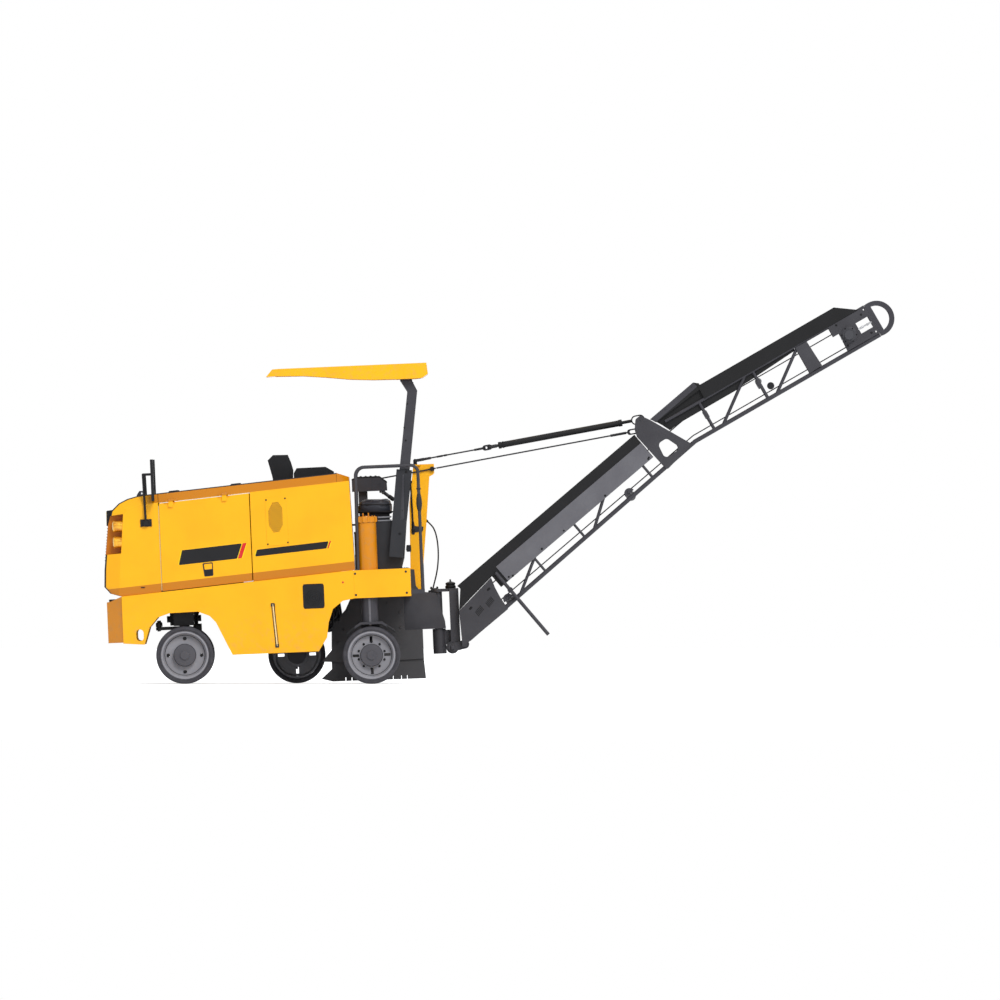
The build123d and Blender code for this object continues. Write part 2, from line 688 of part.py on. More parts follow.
def canopy_posts():
    shape = None
    for side in (-1, 1):
        y0, y1 = sorted((side * (POST_Y - POST_WIDTH / 2), side * (POST_Y + POST_WIDTH / 2)))
        post = side_plate(post_outline(0), y0, y1)
        shape = post if shape is None else shape + post
    shape += slab(690, 740, -POST_Y, POST_Y, 2780, 2840)
    for side in (-1, 1):
        y0, y1 = sorted((side * (POST_Y - 25), side * (POST_Y + 25)))
        shape += slab(701, 810, y0, y1, 2850, CANOPY_FOOT_Z)
    return shape


CANOPY_OUTLINE = [
    (2056, 2943),
    (1995, 3011),
    (1935, 3014),
    (561, 3015),
    (550, 2912),
    (601, 2876),
    (656, 2872),
    (843, 2872),
    (1062, 2876),
    (1281, 2890),
    (1499, 2918),
    (1718, 2940),
    (1992, 2946),
]


def canopy():
    shape = side_plate(CANOPY_OUTLINE, -CANOPY_HALF_WIDTH, CANOPY_HALF_WIDTH)
    hollow = [(1960, 2900), (1985, 2985), (1930, 2998), (580, 2998), (600, 2900), (656, 2800), (1900, 2800)]
    inner = CANOPY_HALF_WIDTH - 40
    shape -= side_plate(hollow, -inner, inner)
    # the roof is bolted to a beam on each post
    for side in (-1, 1):
        y0, y1 = sorted((side * (POST_Y - 30), side * (POST_Y + 30)))
        shape += slab(640, 1860, y0, y1, 2956, 3002)
        shape += slab(660, 850, y0, y1, CANOPY_FOOT_Z + SEAT_GAP, 3002)
    return shape


keep("seat_base", seat_base() + post_socket(1) + post_socket(-1))
keep("seat_cushion", fillet(slab(928, 1258, -20, 430, 1641, 1762).edges(), 18))
keep("control_console", console())
keep("handrails", *handrails())
keep("canopy_posts", canopy_posts())
keep("canopy", canopy())

# ---------------------------------------------------------------- wheels


def turned(section, centre_x, y, centre_z):
    """A round piece on a cross axis. section lists (radius, distance towards +Y)."""
    face = Plane.XZ * Polygon(*[(r, h) for r, h in section], align=None)
    solid = revolve(face, Axis.Z, 360)
    return Pos(centre_x, y, centre_z) * Rot(-90, 0, 0) * solid


def rim(x, z, y, side, slots):
    """A dished rim with its outer face towards side."""
    half = RIM_WIDTH / 2
    bore = HUB_BORE_RADIUS + RUN_GAP
    section = [
        (bore, -half + 13),
        (110, -half + 13),
        (110, -20),
        (190, -20),
        (205, -half),
        (RIM_RADIUS, -half),
        (RIM_RADIUS, half),
        (205, half),
        (188, 45),
        (188, 30),
        (HUB_DISC_RADIUS, 30),
        (HUB_DISC_RADIUS, 78),
        (42, 78),
        (42, half - 3),
        (0, half - 3),
        (0, 62),
        (bore, 62),
    ]
    body = turned([(r, h * side) for r, h in section], x, y, z)
    for turn in range(4):
        a = radians(90 * turn)
        if slots:
            cx, cz = x + 147 * cos(a), z + 147 * sin(a)
            hole = Pos(cx, y, cz) * Rot(0, -degrees(a), 0) * Box(60, 300, 26)
        else:
            hole = cross_bar(x + 155 * cos(a), z + 155 * sin(a), y - 150, y + 150, 14)
        body -= hole
    return body


def tyre(x, z, y):
    half = WHEEL_WIDTH / 2
    inner = RIM_RADIUS + SEAT_GAP
    section = [
        (inner, -half + 5),
        (inner + 20, -half),
        (WHEEL_RADIUS - 9, -half + 3),
        (WHEEL_RADIUS, -half + 16),
        (WHEEL_RADIUS, half - 16),
        (WHEEL_RADIUS - 9, half - 3),
        (inner + 20, half),
        (inner, half - 5),
    ]
    return turned(section, x, y, z)


# name, centre in X and Z, Y, side that the dished face looks to, radial slots in the rim
WHEELS = [
    ("front_left", front_wheel, WHEEL_Y, 1, False),
    ("front_right", front_wheel, -WHEEL_Y, -1, False),
    ("rear_left", rear_wheel, WHEEL_Y, 1, True),
    ("rear_right", swung_wheel, SWUNG_IN_Y, -1, True),
]
for name, centre, y, side, slots in WHEELS:
    keep(name + "_rim", rim(centre[0], centre[1], y, side, slots))
    keep(name + "_tyre", tyre(centre[0], centre[1], y))

# ---------------------------------------------------------------- front axle

AXLE_X = front_wheel[0]
BEAM_Z = axle_beam_z()
KING_BLOCK_BOTTOM = front_wheel[1] + WHEEL_RADIUS + SWING_GAP
KING_BLOCK_HALF = 48.0
TIE_Z = KING_BLOCK_BOTTOM + 14
TYRE_INNER_Y = WHEEL_Y - WHEEL_WIDTH / 2


def axle_beam():
    half = AXLE_BEAM_DEPTH / 2
    beam = slab(AXLE_X - 90, AXLE_X + 90, -KINGPIN_Y + 40, KINGPIN_Y - 40, BEAM_Z - half, BEAM_Z + half)
    for side in (-1, 1):
        y = side * KINGPIN_Y
        y0, y1 = y - KING_BLOCK_HALF, y + KING_BLOCK_HALF
        beam += slab(AXLE_X - 94, AXLE_X + 94, y0, y1, KING_BLOCK_BOTTOM, BEAM_Z + half)
        beam -= rod((AXLE_X, y, 500), (AXLE_X, y, 950), KINGPIN_RADIUS + RUN_GAP)
    return beam - rod((AXLE_X - 200, 0, BEAM_Z), (AXLE_X + 200, 0, BEAM_Z), 30 + SEAT_GAP)


def knuckle(side):
    y = side * KINGPIN_Y
    top = BEAM_Z + AXLE_BEAM_DEPTH / 2 + 2
    wheel_z = front_wheel[1]
    shape = rod((AXLE_X, y, KING_BLOCK_BOTTOM - 40), (AXLE_X, y, top + 14), KINGPIN_RADIUS)
    shape += rod((AXLE_X, y, top), (AXLE_X, y, top + 14), 58)
    shape += rod((AXLE_X, y, KING_BLOCK_BOTTOM - 40), (AXLE_X, y, KING_BLOCK_BOTTOM - 2), KING_BLOCK_HALF - 2)
    y_out = side * (TYRE_INNER_Y - 8)
    y_in = side * (KINGPIN_Y - 40)
    y0, y1 = sorted((y_in, y_out))
    shape += slab(AXLE_X - 62, AXLE_X + 62, y0, y1, wheel_z, KING_BLOCK_BOTTOM - 20)
    shape += cross_bar(AXLE_X, wheel_z, y_in, y_out, 88)
    shape += cross_bar(AXLE_X, wheel_z, y_out, side * (WHEEL_Y + 60), HUB_BORE_RADIUS)
    arm_y = sorted((y - 26, y + 26))
    shape += slab(AXLE_X + 30, AXLE_X + STEER_ARM, *arm_y, KING_BLOCK_BOTTOM - 34, KING_BLOCK_BOTTOM - 6)
    end = (AXLE_X + STEER_ARM, y)
    shape += rod((*end, KING_BLOCK_BOTTOM - 34), (*end, KING_BLOCK_BOTTOM - 6), 26)
    return shape - rod((*end, 400), (*end, 900), 12 + (RUN_GAP if side > 0 else 0.4))


def tie_rod():
    x = AXLE_X + STEER_ARM
    shape = rod((x, -KINGPIN_Y + 20, TIE_Z), (x, KINGPIN_Y - 20, TIE_Z), 15)
    for y in (-KINGPIN_Y, KINGPIN_Y):
        shape += rod((x, y, KING_BLOCK_BOTTOM - 3), (x, y, TIE_Z + 17), 27)
        shape += rod((x, y, KING_BLOCK_BOTTOM - 44), (x, y, TIE_Z), 12)
    return shape


keep("front_axle_beam", axle_beam())
keep("steering_knuckle_left", knuckle(1))
keep("steering_knuckle_right", knuckle(-1))
keep("tie_rod", tie_rod())

# ---------------------------------------------------------------- rear legs


def casing(x, y):
    """The yellow outer tube of a lifting column."""
    tube = pipe((x, y, COLUMN_BOTTOM_Z), (x, y, COLUMN_TOP_Z - 16), COLUMN_RADIUS, COLUMN_TUBE_RADIUS + SEAT_GAP)
    return tube + rod((x, y, COLUMN_TOP_Z - 16), (x, y, COLUMN_TOP_Z), COLUMN_RADIUS)


def wheel_spindle(x, z, y_from, y_to):
    return cross_bar(x, z, y_from, y_to, HUB_BORE_RADIUS)


def rear_left_leg():
    x, z = rear_wheel
    top = z + WHEEL_RADIUS
    leg = rod((x, WHEEL_Y, top + 42), (x, WHEEL_Y, 1200), COLUMN_TUBE_RADIUS)
    y0, y1 = TYRE_INNER_Y - 38, TYRE_INNER_Y - 10
    crown = [(x + 222, top - 50), (x + 148, top + 5), (x + 90, top + 43), (x - 110, top + 43)]
    crown += [(x - 223, top - 41), (x - 223, top - 57), (x - 106, top + 20), (x + 86, top + 20)]
    crown += [(x + 140, top - 12), (x + 222, top - 68)]
    leg += side_plate(crown, y0, WHEEL_Y + 90)
    leg += slab(x - 85, x + 85, y0, y1, z, top + 43)
    leg += cross_bar(x, z, y0 - 40, y1, 88)
    return leg + wheel_spindle(x, z, y1, WHEEL_Y + 60)


SLEEVE_RADIUS = 104.0
SLEEVE_BOTTOM = 566.0
SLEEVE_TOP = 700.0


def rear_right_leg_tube():
    x, y = SWING_HINGE_X, SWING_HINGE_Y
    leg = rod((x, y, SLEEVE_BOTTOM - 6), (x, y, 1200), COLUMN_TUBE_RADIUS)
    return leg + rod((x, y, SLEEVE_BOTTOM - 20), (x, y, SLEEVE_BOTTOM - 6), SLEEVE_RADIUS - 10)


def swing_leg():
    x, y = SWING_HINGE_X, SWING_HINGE_Y
    wheel_x, wheel_z = swung_wheel
    top = wheel_z + WHEEL_RADIUS
    arm_z0, arm_z1 = top + 14, top + 62
    sleeve = rod((x, y, SLEEVE_BOTTOM), (x, y, SLEEVE_TOP), SLEEVE_RADIUS)
    cheek_y0 = SWUNG_IN_Y + WHEEL_WIDTH / 2 + 10
    cheek_y1 = cheek_y0 + 28
    run = hypot(wheel_x - x, SWUNG_IN_Y - y)
    turn = degrees(atan2(SWUNG_IN_Y - y, wheel_x - x))
    arm = Pos((x + wheel_x) / 2, (y + SWUNG_IN_Y) / 2, (arm_z0 + arm_z1) / 2) * Rot(0, 0, turn)
    leg = sleeve + arm * Box(run, 72, arm_z1 - arm_z0)
    leg += slab(wheel_x - 85, wheel_x + 85, SWUNG_IN_Y - 40, cheek_y1, arm_z0, arm_z1)
    leg += slab(wheel_x - 85, wheel_x + 85, cheek_y0, cheek_y1, wheel_z, arm_z1)
    leg += cross_bar(wheel_x, wheel_z, cheek_y0, cheek_y1 + 40, 88)
    leg += wheel_spindle(wheel_x, wheel_z, SWUNG_IN_Y - 60, cheek_y0)
    return leg - rod((x, y, 500), (x, y, 900), COLUMN_TUBE_RADIUS + RUN_GAP)


keep("lifting_columns", casing(rear_wheel[0], WHEEL_Y), casing(SWING_HINGE_X, SWING_HINGE_Y))
keep("lifting_legs", rear_left_leg(), rear_right_leg_tube())
keep("swing_leg", swing_leg())

# ---------------------------------------------------------------- drum and its housing

drum_centre = from_ground(DRUM_X, DRUM_Z)
SLIDE_GAP = 6.0
right_slider = (HOUSING_RIGHT_Y, HOUSING_RIGHT_Y + SIDE_PLATE)
right_wall = (right_slider[1] + SLIDE_GAP, right_slider[1] + SLIDE_GAP + HOUSING_PLATE)
drum_span = (right_wall[1] + SLIDE_GAP, right_wall[1] + SLIDE_GAP + DRUM_WIDTH)
left_slider = (drum_span[1] + SLIDE_GAP, drum_span[1] + SLIDE_GAP + SIDE_PLATE)
left_wall = (left_slider[1] + SLIDE_GAP, left_slider[1] + SLIDE_GAP + HOUSING_PLATE)
HOUSING_TOP_Z = DECK_BOTTOM_Z - 4
HOUSING_STEP_X = 866.0
HOUSING_STEP_Z = 535.0
HOUSING_REAR_X = 700.0
HOUSING_FRONT_X = drum_centre[0] + DRUM_TIP_RADIUS + 36
SHAFT_RADIUS = 50.0


def drum_housing():
    p = HOUSING_PLATE
    outer = [
        (HOUSING_FRONT_X, 130),
        (HOUSING_FRONT_X, 760),
        (HOUSING_FRONT_X - 44, HOUSING_TOP_Z),
        (HOUSING_STEP_X, HOUSING_TOP_Z),
        (HOUSING_STEP_X, HOUSING_STEP_Z),
        (HOUSING_REAR_X, HOUSING_STEP_Z),
        (HOUSING_REAR_X, 130),
    ]
    inner = [
        (HOUSING_FRONT_X - p, 100),
        (HOUSING_FRONT_X - p, 760 - p / 2),
        (HOUSING_FRONT_X - 44 - p / 2, HOUSING_TOP_Z - p),
        (HOUSING_STEP_X + p, HOUSING_TOP_Z - p),
        (HOUSING_STEP_X + p, HOUSING_STEP_Z - p),
        (HOUSING_REAR_X + p, HOUSING_STEP_Z - p),
        (HOUSING_REAR_X + p, 100),
    ]
    box = side_plate(outer, right_wall[0], left_wall[1])
    box -= side_plate(inner, right_wall[1], left_wall[0])
    left_end = [
        (1652, 272),
        (1555, 376),
        (1546, 607),
        (1411, 748),
        (HOUSING_FRONT_X - 44, HOUSING_TOP_Z),
        (HOUSING_STEP_X, HOUSING_TOP_Z),
        (HOUSING_STEP_X, HOUSING_STEP_Z),
        (HOUSING_REAR_X, HOUSING_STEP_Z),
        (HOUSING_REAR_X, 263),
        (1300, 250),
    ]
    box -= slab(0, 1600, left_wall[0], left_wall[1] + 10, 0, 263)
    box += side_plate(left_end, *left_wall)
    # the left side plate slides between the drum and the outer wall
    box -= slab(0, 1700, left_slider[0] - SLIDE_GAP, left_wall[0], 0, 490)
    # the milled material leaves through the rear wall
    box -= slab(690, 730, drum_span[0] + 60, drum_span[1] - 60, 190, 470)
    bore = cross_bar(*drum_centre, -700, 100, SHAFT_RADIUS + RUN_GAP)
    return box - bore


SLIT_PLACES = (862, 916, 993, 1300, 1377, 1434)
SLIT_WIDTH = 8.0
SLIT_HEIGHT = 34.0


def slider(span, wall, x_front):
    """A side plate that rides up on the ground, with its two guide bars."""
    points = [(x_front - 100, 200), (x_front, 112), (x_front - 105, 84), (HOUSING_REAR_X - 12, 78)]
    points += [(HOUSING_REAR_X + 4, 300), (x_front - 100, 300)]
    plate = side_plate(points, *span)
    low, high = (span[1], wall[0] - SEAT_GAP) if wall[0] > span[1] else (wall[1] + SEAT_GAP, span[0])
    for x in (HOUSING_REAR_X + 30, min(x_front - 130, HOUSING_FRONT_X - 60)):
        plate += slab(x, x + 30, low, high, 272, 300)
    for x in SLIT_PLACES:
        foot = 78 + (x - HOUSING_REAR_X) * 6 / (x_front - 105 - HOUSING_REAR_X)
        half = SLIT_WIDTH / 2
        plate -= slab(x - half, x + half, span[0] - 9, span[1] + 9, foot - 5, foot + SLIT_HEIGHT)
    return plate - slab(drum_centre[0] - 60, drum_centre[0] + 60, span[0] - 9, span[1] + 9, 150, 400)


def cutter_drum():
    x, z = drum_centre
    drum = cross_bar(x, z, *drum_span, DRUM_CORE_RADIUS)
    drum += cross_bar(x, z, right_wall[0] + 1, left_wall[1] - 1, SHAFT_RADIUS)
    rows = 10
    for row in range(rows):
        y = drum_span[0] + 25 + row * (DRUM_WIDTH - 50) / (rows - 1)
        for turn in range(4):
            angle = 90 * turn + 27 * min(row, rows - 1 - row)
            block = Box(DRUM_TIP_RADIUS - DRUM_CORE_RADIUS + 20, 38, 46)
            offset = (DRUM_TIP_RADIUS + DRUM_CORE_RADIUS - 20) / 2 - 2
            drum += Pos(x, y, z) * Rot(0, angle, 0) * Pos(offset, 0, 0) * block
    return drum


keep("drum_housing", drum_housing())
keep("cutter_drum", cutter_drum())
keep("side_plate_left", slider(left_slider, left_wall, 1660))
keep("side_plate_right", slider(right_slider, right_wall, HOUSING_FRONT_X))

# ---------------------------------------------------------------- slew bracket, mast, yoke

BRACKET_PLATE = 18.0
BLOCK_HALF = 60.0
LUG_INNER = 119.0  # half distance over the yoke's two posts
LUG_GAP = 3.0
LUG_OUTER = LUG_INNER + LUG_GAP + 22.0
YOKE_REAR_X = 352.0
YOKE_POST_X = 440.0  # front face of the yoke's posts
mast_left = SLEW_Y - WIRE_BESIDE_MAST
mast_right = mast_left - MAST_WIDTH
SHELF_Z = 870.0


def slew_bracket():
    outline = [
        (DECK_REAR_X, 1101),
        (754, 1096),
        (746, 944),
        (704, 885),
        (562, SHELF_Z),
        (488, 604),
        (483, HOUSING_STEP_Z),
        (HOUSING_STEP_X, HOUSING_STEP_Z),
        (HOUSING_STEP_X, DECK_BOTTOM_Z),
        (DECK_REAR_X, DECK_BOTTOM_Z),
    ]
    left = side_plate(outline, SLEW_Y + BLOCK_HALF, SLEW_Y + BLOCK_HALF + BRACKET_PLATE)
    right = side_plate(outline, mast_right - BRACKET_PLATE, mast_right)
    block = [(488, 604), (483, HOUSING_STEP_Z), (640, HOUSING_STEP_Z), (640, SHELF_Z), (562, SHELF_Z)]
    shape = left + right + side_plate(block, SLEW_Y - BLOCK_HALF, SLEW_Y + BLOCK_HALF)
    shape += slab(566, DECK_REAR_X, mast_right, SLEW_Y + BLOCK_HALF, DECK_BOTTOM_Z + 2, SHELF_Z)
    shape += slab(483, 640, mast_right, SLEW_Y, HOUSING_STEP_Z, HOUSING_STEP_Z + 20)
    # the yoke's right post swings through here at full slew
    foot, head = (SLEW_X, SLEW_Y, 400), (SLEW_X, SLEW_Y, 1000)
    post_path = hypot(SLEW_X - YOKE_POST_X, LUG_INNER - CHEEK) - SWING_GAP
    sweep = slab(300, SLEW_X + 30, -900, SLEW_Y - BLOCK_HALF, 400, 1000) - rod(foot, head, post_path)
    return shape - sweep - rod(foot, head, KING_RADIUS + RUN_GAP)


def mast():
    outline = [
        (723, 2073),
        (775, 1717),
        (DECK_REAR_X, 1112),
        (DECK_REAR_X, SHELF_Z),
        (700, SHELF_Z),
        (652, 1275),
        (622, 1536),
        (578, 1956),
        (545, 1972),
        (508, 2010),
        (508, 2040),
        (531, 2073),
    ]
    post = side_plate(outline, mast_right, mast_left)
    post -= slab(480, 560, mast_right - 10, mast_left - 16, 1900, 2100)
    post -= slab(480, EYE_X - 18, mast_left - 20, mast_left + 5, 1985, 2100)
    # top plate that carries the stay's swivel over the wire
    post += slab(655, 735, mast_right, SLEW_Y + 30, 2061, 2073)
    post -= rod((STAY_X, SLEW_Y, 2000), (STAY_X, SLEW_Y, 2200), 12 + RUN_GAP)
    return post - cross_bar(EYE_X, EYE_Z, mast_left - 30, mast_left + 30, 9 + RUN_GAP)


def slew_yoke():
    x, y = SLEW_X, SLEW_Y
    arm_z = SHELF_Z + 7
    top = arm_z + 28
    yoke = rod((x, y, 300), (x, y, top), KING_RADIUS)
    yoke += rod((x, y, 300), (x, y, HOUSING_STEP_Z - 2), 62)
    yoke += rod((x, y, arm_z), (x, y, top), 62)
    yoke += slab(YOKE_REAR_X, x, y - 58, y + 58, arm_z, top)
    for side in (-1, 1):
        y0, y1 = sorted((y + side * LUG_INNER, y + side * (LUG_INNER - CHEEK)))
        post = slab(YOKE_REAR_X, YOKE_POST_X, y0, y1, LUFF_Z, top) + cross_bar(LUFF_X, LUFF_Z, y0, y1, 58)
        yoke += post
    yoke += slab(YOKE_REAR_X, YOKE_POST_X, y - LUG_INNER, y + LUG_INNER, arm_z - 60, top)
    yoke += slab(400, x, y - 36, y + 36, LUFF_Z + LUFF_PIN_RADIUS + 8, 520)
    yoke += slab(380, YOKE_POST_X, y - LUG_INNER + 2, y + LUG_INNER - 2, LUFF_Z + LUFF_PIN_RADIUS + 8, 520)
    yoke += cross_bar(LUFF_X, LUFF_Z, y - LUG_OUTER - 12, y + LUG_OUTER + 12, LUFF_PIN_RADIUS)
    return yoke


keep("slew_bracket", slew_bracket())
keep("mast", mast())
keep("slew_yoke", slew_yoke())

# ---------------------------------------------------------------- conveyor

CHORD_Y = CONVEYOR_HALF_WIDTH - CHORD_RADIUS - SEAT_GAP
TAIL_U = 340.0
HEAD_P = 1739.0
BOARD = 6.0
BOARD_START_U = 405.0
BOARD_END_U = 2578.0
BOARD_BOTTOM = 134.0
COVER_START_U = 796.0
COVER_END_U = 2573.0
COVER_TOP = 310.0
HEAD_START_P = 1603.0
belt_tail = lower(TAIL_U, LOWER_BELT_LINE)
belt_head = upper(HEAD_P, UPPER_BELT_LINE)


def meet(p, a, q, b):
    """Where the line through p at angle a meets the line through q at angle b."""
    ca, sa, cb, sb = cos(a), sin(a), cos(b), sin(b)
    t = ((q[0] - p[0]) * sb - (q[1] - p[1]) * cb) / (ca * sb - sa * cb)
    return (p[0] + t * ca, p[1] + t * sa)


belt_bend = meet(belt_tail, radians(180 - LOWER_SLOPE), belt_head, radians(180 - UPPER_SLOPE))


def chord_v(u):
    """Height of the bottom chord at u, in the lower section's own frame."""
    return -44 + LOWER_CHORD_RISE * (u - 84) / (LOWER_LENGTH - 84)


def both(make):
    """The same piece on both sides. make gets +1 or -1 and returns a solid."""
    return make(1) + make(-1)


def across(point, half, radius):
    """A round cross tube of the conveyor."""
    return cross_bar(point[0], point[1], SLEW_Y - half, SLEW_Y + half, radius)


def plates(points, inner, thick, rounding=0):
    """A pair of plates at both sides of the conveyor, from the same outline, its corners rounded."""
    outline = Polygon(*points, align=None)
    if rounding:
        outline = fillet(outline.vertices(), rounding)
    left = extrude(Plane.XZ.offset(-SLEW_Y - inner) * outline, thick, dir=(0, 1, 0))
    return left + extrude(Plane.XZ.offset(-SLEW_Y + inner) * outline, thick, dir=(0, -1, 0))


def chord_frame():
    shape = None
    top_y = CONVEYOR_HALF_WIDTH - TOP_CHORD_RADIUS - SEAT_GAP
    tie_y = CONVEYOR_HALF_WIDTH - POST_RADIUS - SEAT_GAP
    for side in (-1, 1):
        y = SLEW_Y + side * CHORD_Y
        yt = SLEW_Y + side * top_y

        def at(point, where=y):
            return (point[0], where, point[1])

        bars = [
            (lower(165, chord_v(165)), lower(LOWER_LENGTH, chord_v(LOWER_LENGTH)), CHORD_RADIUS, y),
            (upper(-2, 0), upper(UPPER_LENGTH, 0), CHORD_RADIUS, y),
            (upper(-150, CHORD_GAP), upper(UPPER_LENGTH, CHORD_GAP), TOP_CHORD_RADIUS, yt),
        ]
        for a, b, r, where in bars:
            bar = rod(at(a, where), at(b, where), r)
            shape = bar if shape is None else shape + bar
        shape += Pos(*at(BEND)) * Sphere(CHORD_RADIUS)
        # posts and diagonals: start p, end p
        for p0, p1 in [(213, 213), (UPPER_POST_P, UPPER_POST_P), (301, 710), (878, 1287)]:
            shape += rod(at(upper(p0, 0)), at(upper(p1, CHORD_GAP), yt), POST_RADIUS)
        # ties from the bottom chord up to the side boards
        for u0, u1 in [(801, 1150), (1714, 1990)]:
            end = at(lower(u1, BOARD_BOTTOM + 20), SLEW_Y + side * tie_y)
            shape += rod(at(lower(u0, chord_v(u0))), end, POST_RADIUS)
        for u in (1121, 1607, 2450):
            end = at(lower(u, BOARD_BOTTOM + 20), SLEW_Y + side * tie_y)
            shape += rod(at(lower(u, chord_v(u))), end, 12)
    for u in (190, 1121, 2450):
        shape += across(lower(u, chord_v(u)), CHORD_Y, 14)
    for p in (30, 791, 1950):
        shape += across(upper(p, 0), CHORD_Y, 14)
    return shape


def tail_plates():
    points = [(335, 352), (353, 691), lower(696, 262), lower(663, 166), lower(640, 60), lower(627, -64)]
    shape = plates(points, CONVEYOR_HALF_WIDTH, BOARD)
    bar = (312, 378)
    shape += across(bar, CONVEYOR_HALF_WIDTH + 2, 26)
    for side in (-1, 1):
        y0 = SLEW_Y + side * (LUG_INNER + LUG_GAP)
        shape += link((LUFF_X, LUFF_Z), bar, 40, y0, y0 + side * 22)
    return shape - across((LUFF_X, LUFF_Z), LUG_OUTER + 40, LUFF_PIN_RADIUS + RUN_GAP)


def side_boards():
    low = [
        lower(BOARD_START_U, BOARD_TOP),
        lower(BOARD_END_U, BOARD_TOP),
        lower(BOARD_END_U, BOARD_BOTTOM),
        lower(710, BOARD_BOTTOM),
        lower(710, 266),
        lower(430, 240),
    ]
    return plates(low, CONVEYOR_HALF_WIDTH, BOARD)


def cover_panels():
    points = [
        lower(COVER_START_U, COVER_TOP),
        lower(COVER_END_U, COVER_TOP),
        lower(COVER_END_U, BOARD_BOTTOM),
        lower(COVER_START_U, BOARD_BOTTOM),
    ]
    shape = plates(points, CONVEYOR_HALF_WIDTH + BOARD, BOARD)
    for u, v in [(COVER_START_U + 30, 160), (COVER_START_U + 700, 155), (COVER_END_U - 30, 158)]:
        shape -= across(lower(u, v), 400, 9)
    return shape


def upper_boards():
    points = [
        upper(276, CHORD_GAP + 2),
        upper(276, UPPER_BOARD_TOP),
        upper(1743, UPPER_BOARD_TOP),
        upper(1927, CHORD_GAP + 4),
    ]
    strip = [upper(-255, 385), upper(-226, 336), upper(300, 400), upper(300, 452), upper(261, 483)]
    shape = plates(points, CONVEYOR_HALF_WIDTH, BOARD)
    return shape + plates(strip, CONVEYOR_HALF_WIDTH - BOARD, BOARD)


PIN_BAR = 14.0
STAY_PIN = lower(2718, 478)
WIRE_PIN = lower(2628, 415)


def gusset_plates():
    outline = [(2736, 509), (2681, 510), (2610, 439), (2585, 376), (2597, -40), (2931, -8), (2779, 417)]
    window = [(2787, 186), (2690, 202), (2650, 50), (2830, 30)]
    shape = plates([lower(*q) for q in outline], CONVEYOR_HALF_WIDTH + 0.2, BOARD + 2, 22)
    shape -= plates([lower(*q) for q in window], CONVEYOR_HALF_WIDTH - 5, 30, 40)
    for pin in (STAY_PIN, WIRE_PIN):
        shape += across(pin, CONVEYOR_HALF_WIDTH + 12, PIN_BAR)
    return shape


def band(radius):
    """The belt's outline in X and Z, drawn round its pulleys with the given radius."""
    shape = None
    for a, b in [(belt_tail, belt_bend), (belt_bend, belt_head)]:
        length = hypot(b[0] - a[0], b[1] - a[1])
        turn = degrees(atan2(b[1] - a[1], b[0] - a[0]))
        run = Pos((a[0] + b[0]) / 2, (a[1] + b[1]) / 2) * Rot(0, 0, turn) * Rectangle(length, 2 * radius)
        run = run + Pos(*a) * Circle(radius) + Pos(*b) * Circle(radius)
        shape = run if shape is None else shape + run
    return shape


def belt():
    loop = band(PULLEY_RADIUS + BELT_THICK) - band(PULLEY_RADIUS)
    half = BELT_WIDTH / 2
    return extrude(Plane.XZ.offset(half - SLEW_Y) * loop, BELT_WIDTH, dir=(0, 1, 0))


def roller(point, radius, half, shaft_half, shaft=10):
    return across(point, half, radius) + across(point, shaft_half, shaft)


def rollers():
    inner = CONVEYOR_HALF_WIDTH - SEAT_GAP
    half = BELT_WIDTH / 2 - 6
    pieces = [roller(belt_tail, PULLEY_RADIUS - SEAT_GAP, half, inner, 18)]
    carry = PULLEY_RADIUS - 30 - SEAT_GAP
    for u in (760, 1160, 1605, 2030, 2452):
        pieces.append(roller(lower(u, LOWER_BELT_LINE + carry), 30, half, inner))
    for p in (UPPER_POST_P, 1310):
        # the first one is carried between two posts, the second between two plates
        reach = CHORD_Y - POST_RADIUS - SEAT_GAP if p == UPPER_POST_P else inner
        pieces.append(roller(upper(p, UPPER_BELT_LINE + carry), 30, half, reach))
    below = -PULLEY_RADIUS - BELT_THICK - 46 - SEAT_GAP
    for u in (700, 2183):
        reach = CHORD_Y - CHORD_RADIUS - SEAT_GAP
        pieces.append(roller(lower(u, LOWER_BELT_LINE + below), 46, half - 30, reach))
    return pieces


HEAD_HOLES = [(1975, 280), (1976, 44)]
HEAD_HOLE_RADIUS = 9.0


def head_plates():
    post = [(1245, CHORD_GAP - 12), (1366, CHORD_GAP - 12), (1379, 22), (1243, 15)]
    head = [
        (HEAD_START_P, CHORD_GAP),
        (UPPER_LENGTH + 8, CHORD_GAP),
        (UPPER_LENGTH + 8, 16),
        (1656, 16),
        (1665, 198),
        (HEAD_START_P, 198),
    ]
    window = [(1845, 205), (1975, 205), (1975, 95), (1845, 95)]
    shape = plates([upper(*q) for q in head], CONVEYOR_HALF_WIDTH + 0.2, BOARD + 2)
    shape += plates([upper(*q) for q in post], CONVEYOR_HALF_WIDTH + 0.2, BOARD + 2)
    shape -= plates([upper(*q) for q in window], CONVEYOR_HALF_WIDTH - 9, BOARD + 20)
    for place in HEAD_HOLES:
        shape -= across(upper(*place), CONVEYOR_HALF_WIDTH + 40, HEAD_HOLE_RADIUS)
    return shape


def head_drive():
    reach = CONVEYOR_HALF_WIDTH
    drum = across(belt_head, BELT_WIDTH / 2 - 6, PULLEY_RADIUS - SEAT_GAP)
    drum += across(belt_head, reach - 1, 24)
    y = SLEW_Y + reach + BOARD + 2.4
    motor = cross_bar(*belt_head, y, y + 34, 62) + cross_bar(*belt_head, y + 34, y + 120, 43)
    y = SLEW_Y - reach - BOARD - 2.4
    bearing = cross_bar(*belt_head, y - 34, y, 62)
    return [drum, motor, bearing]


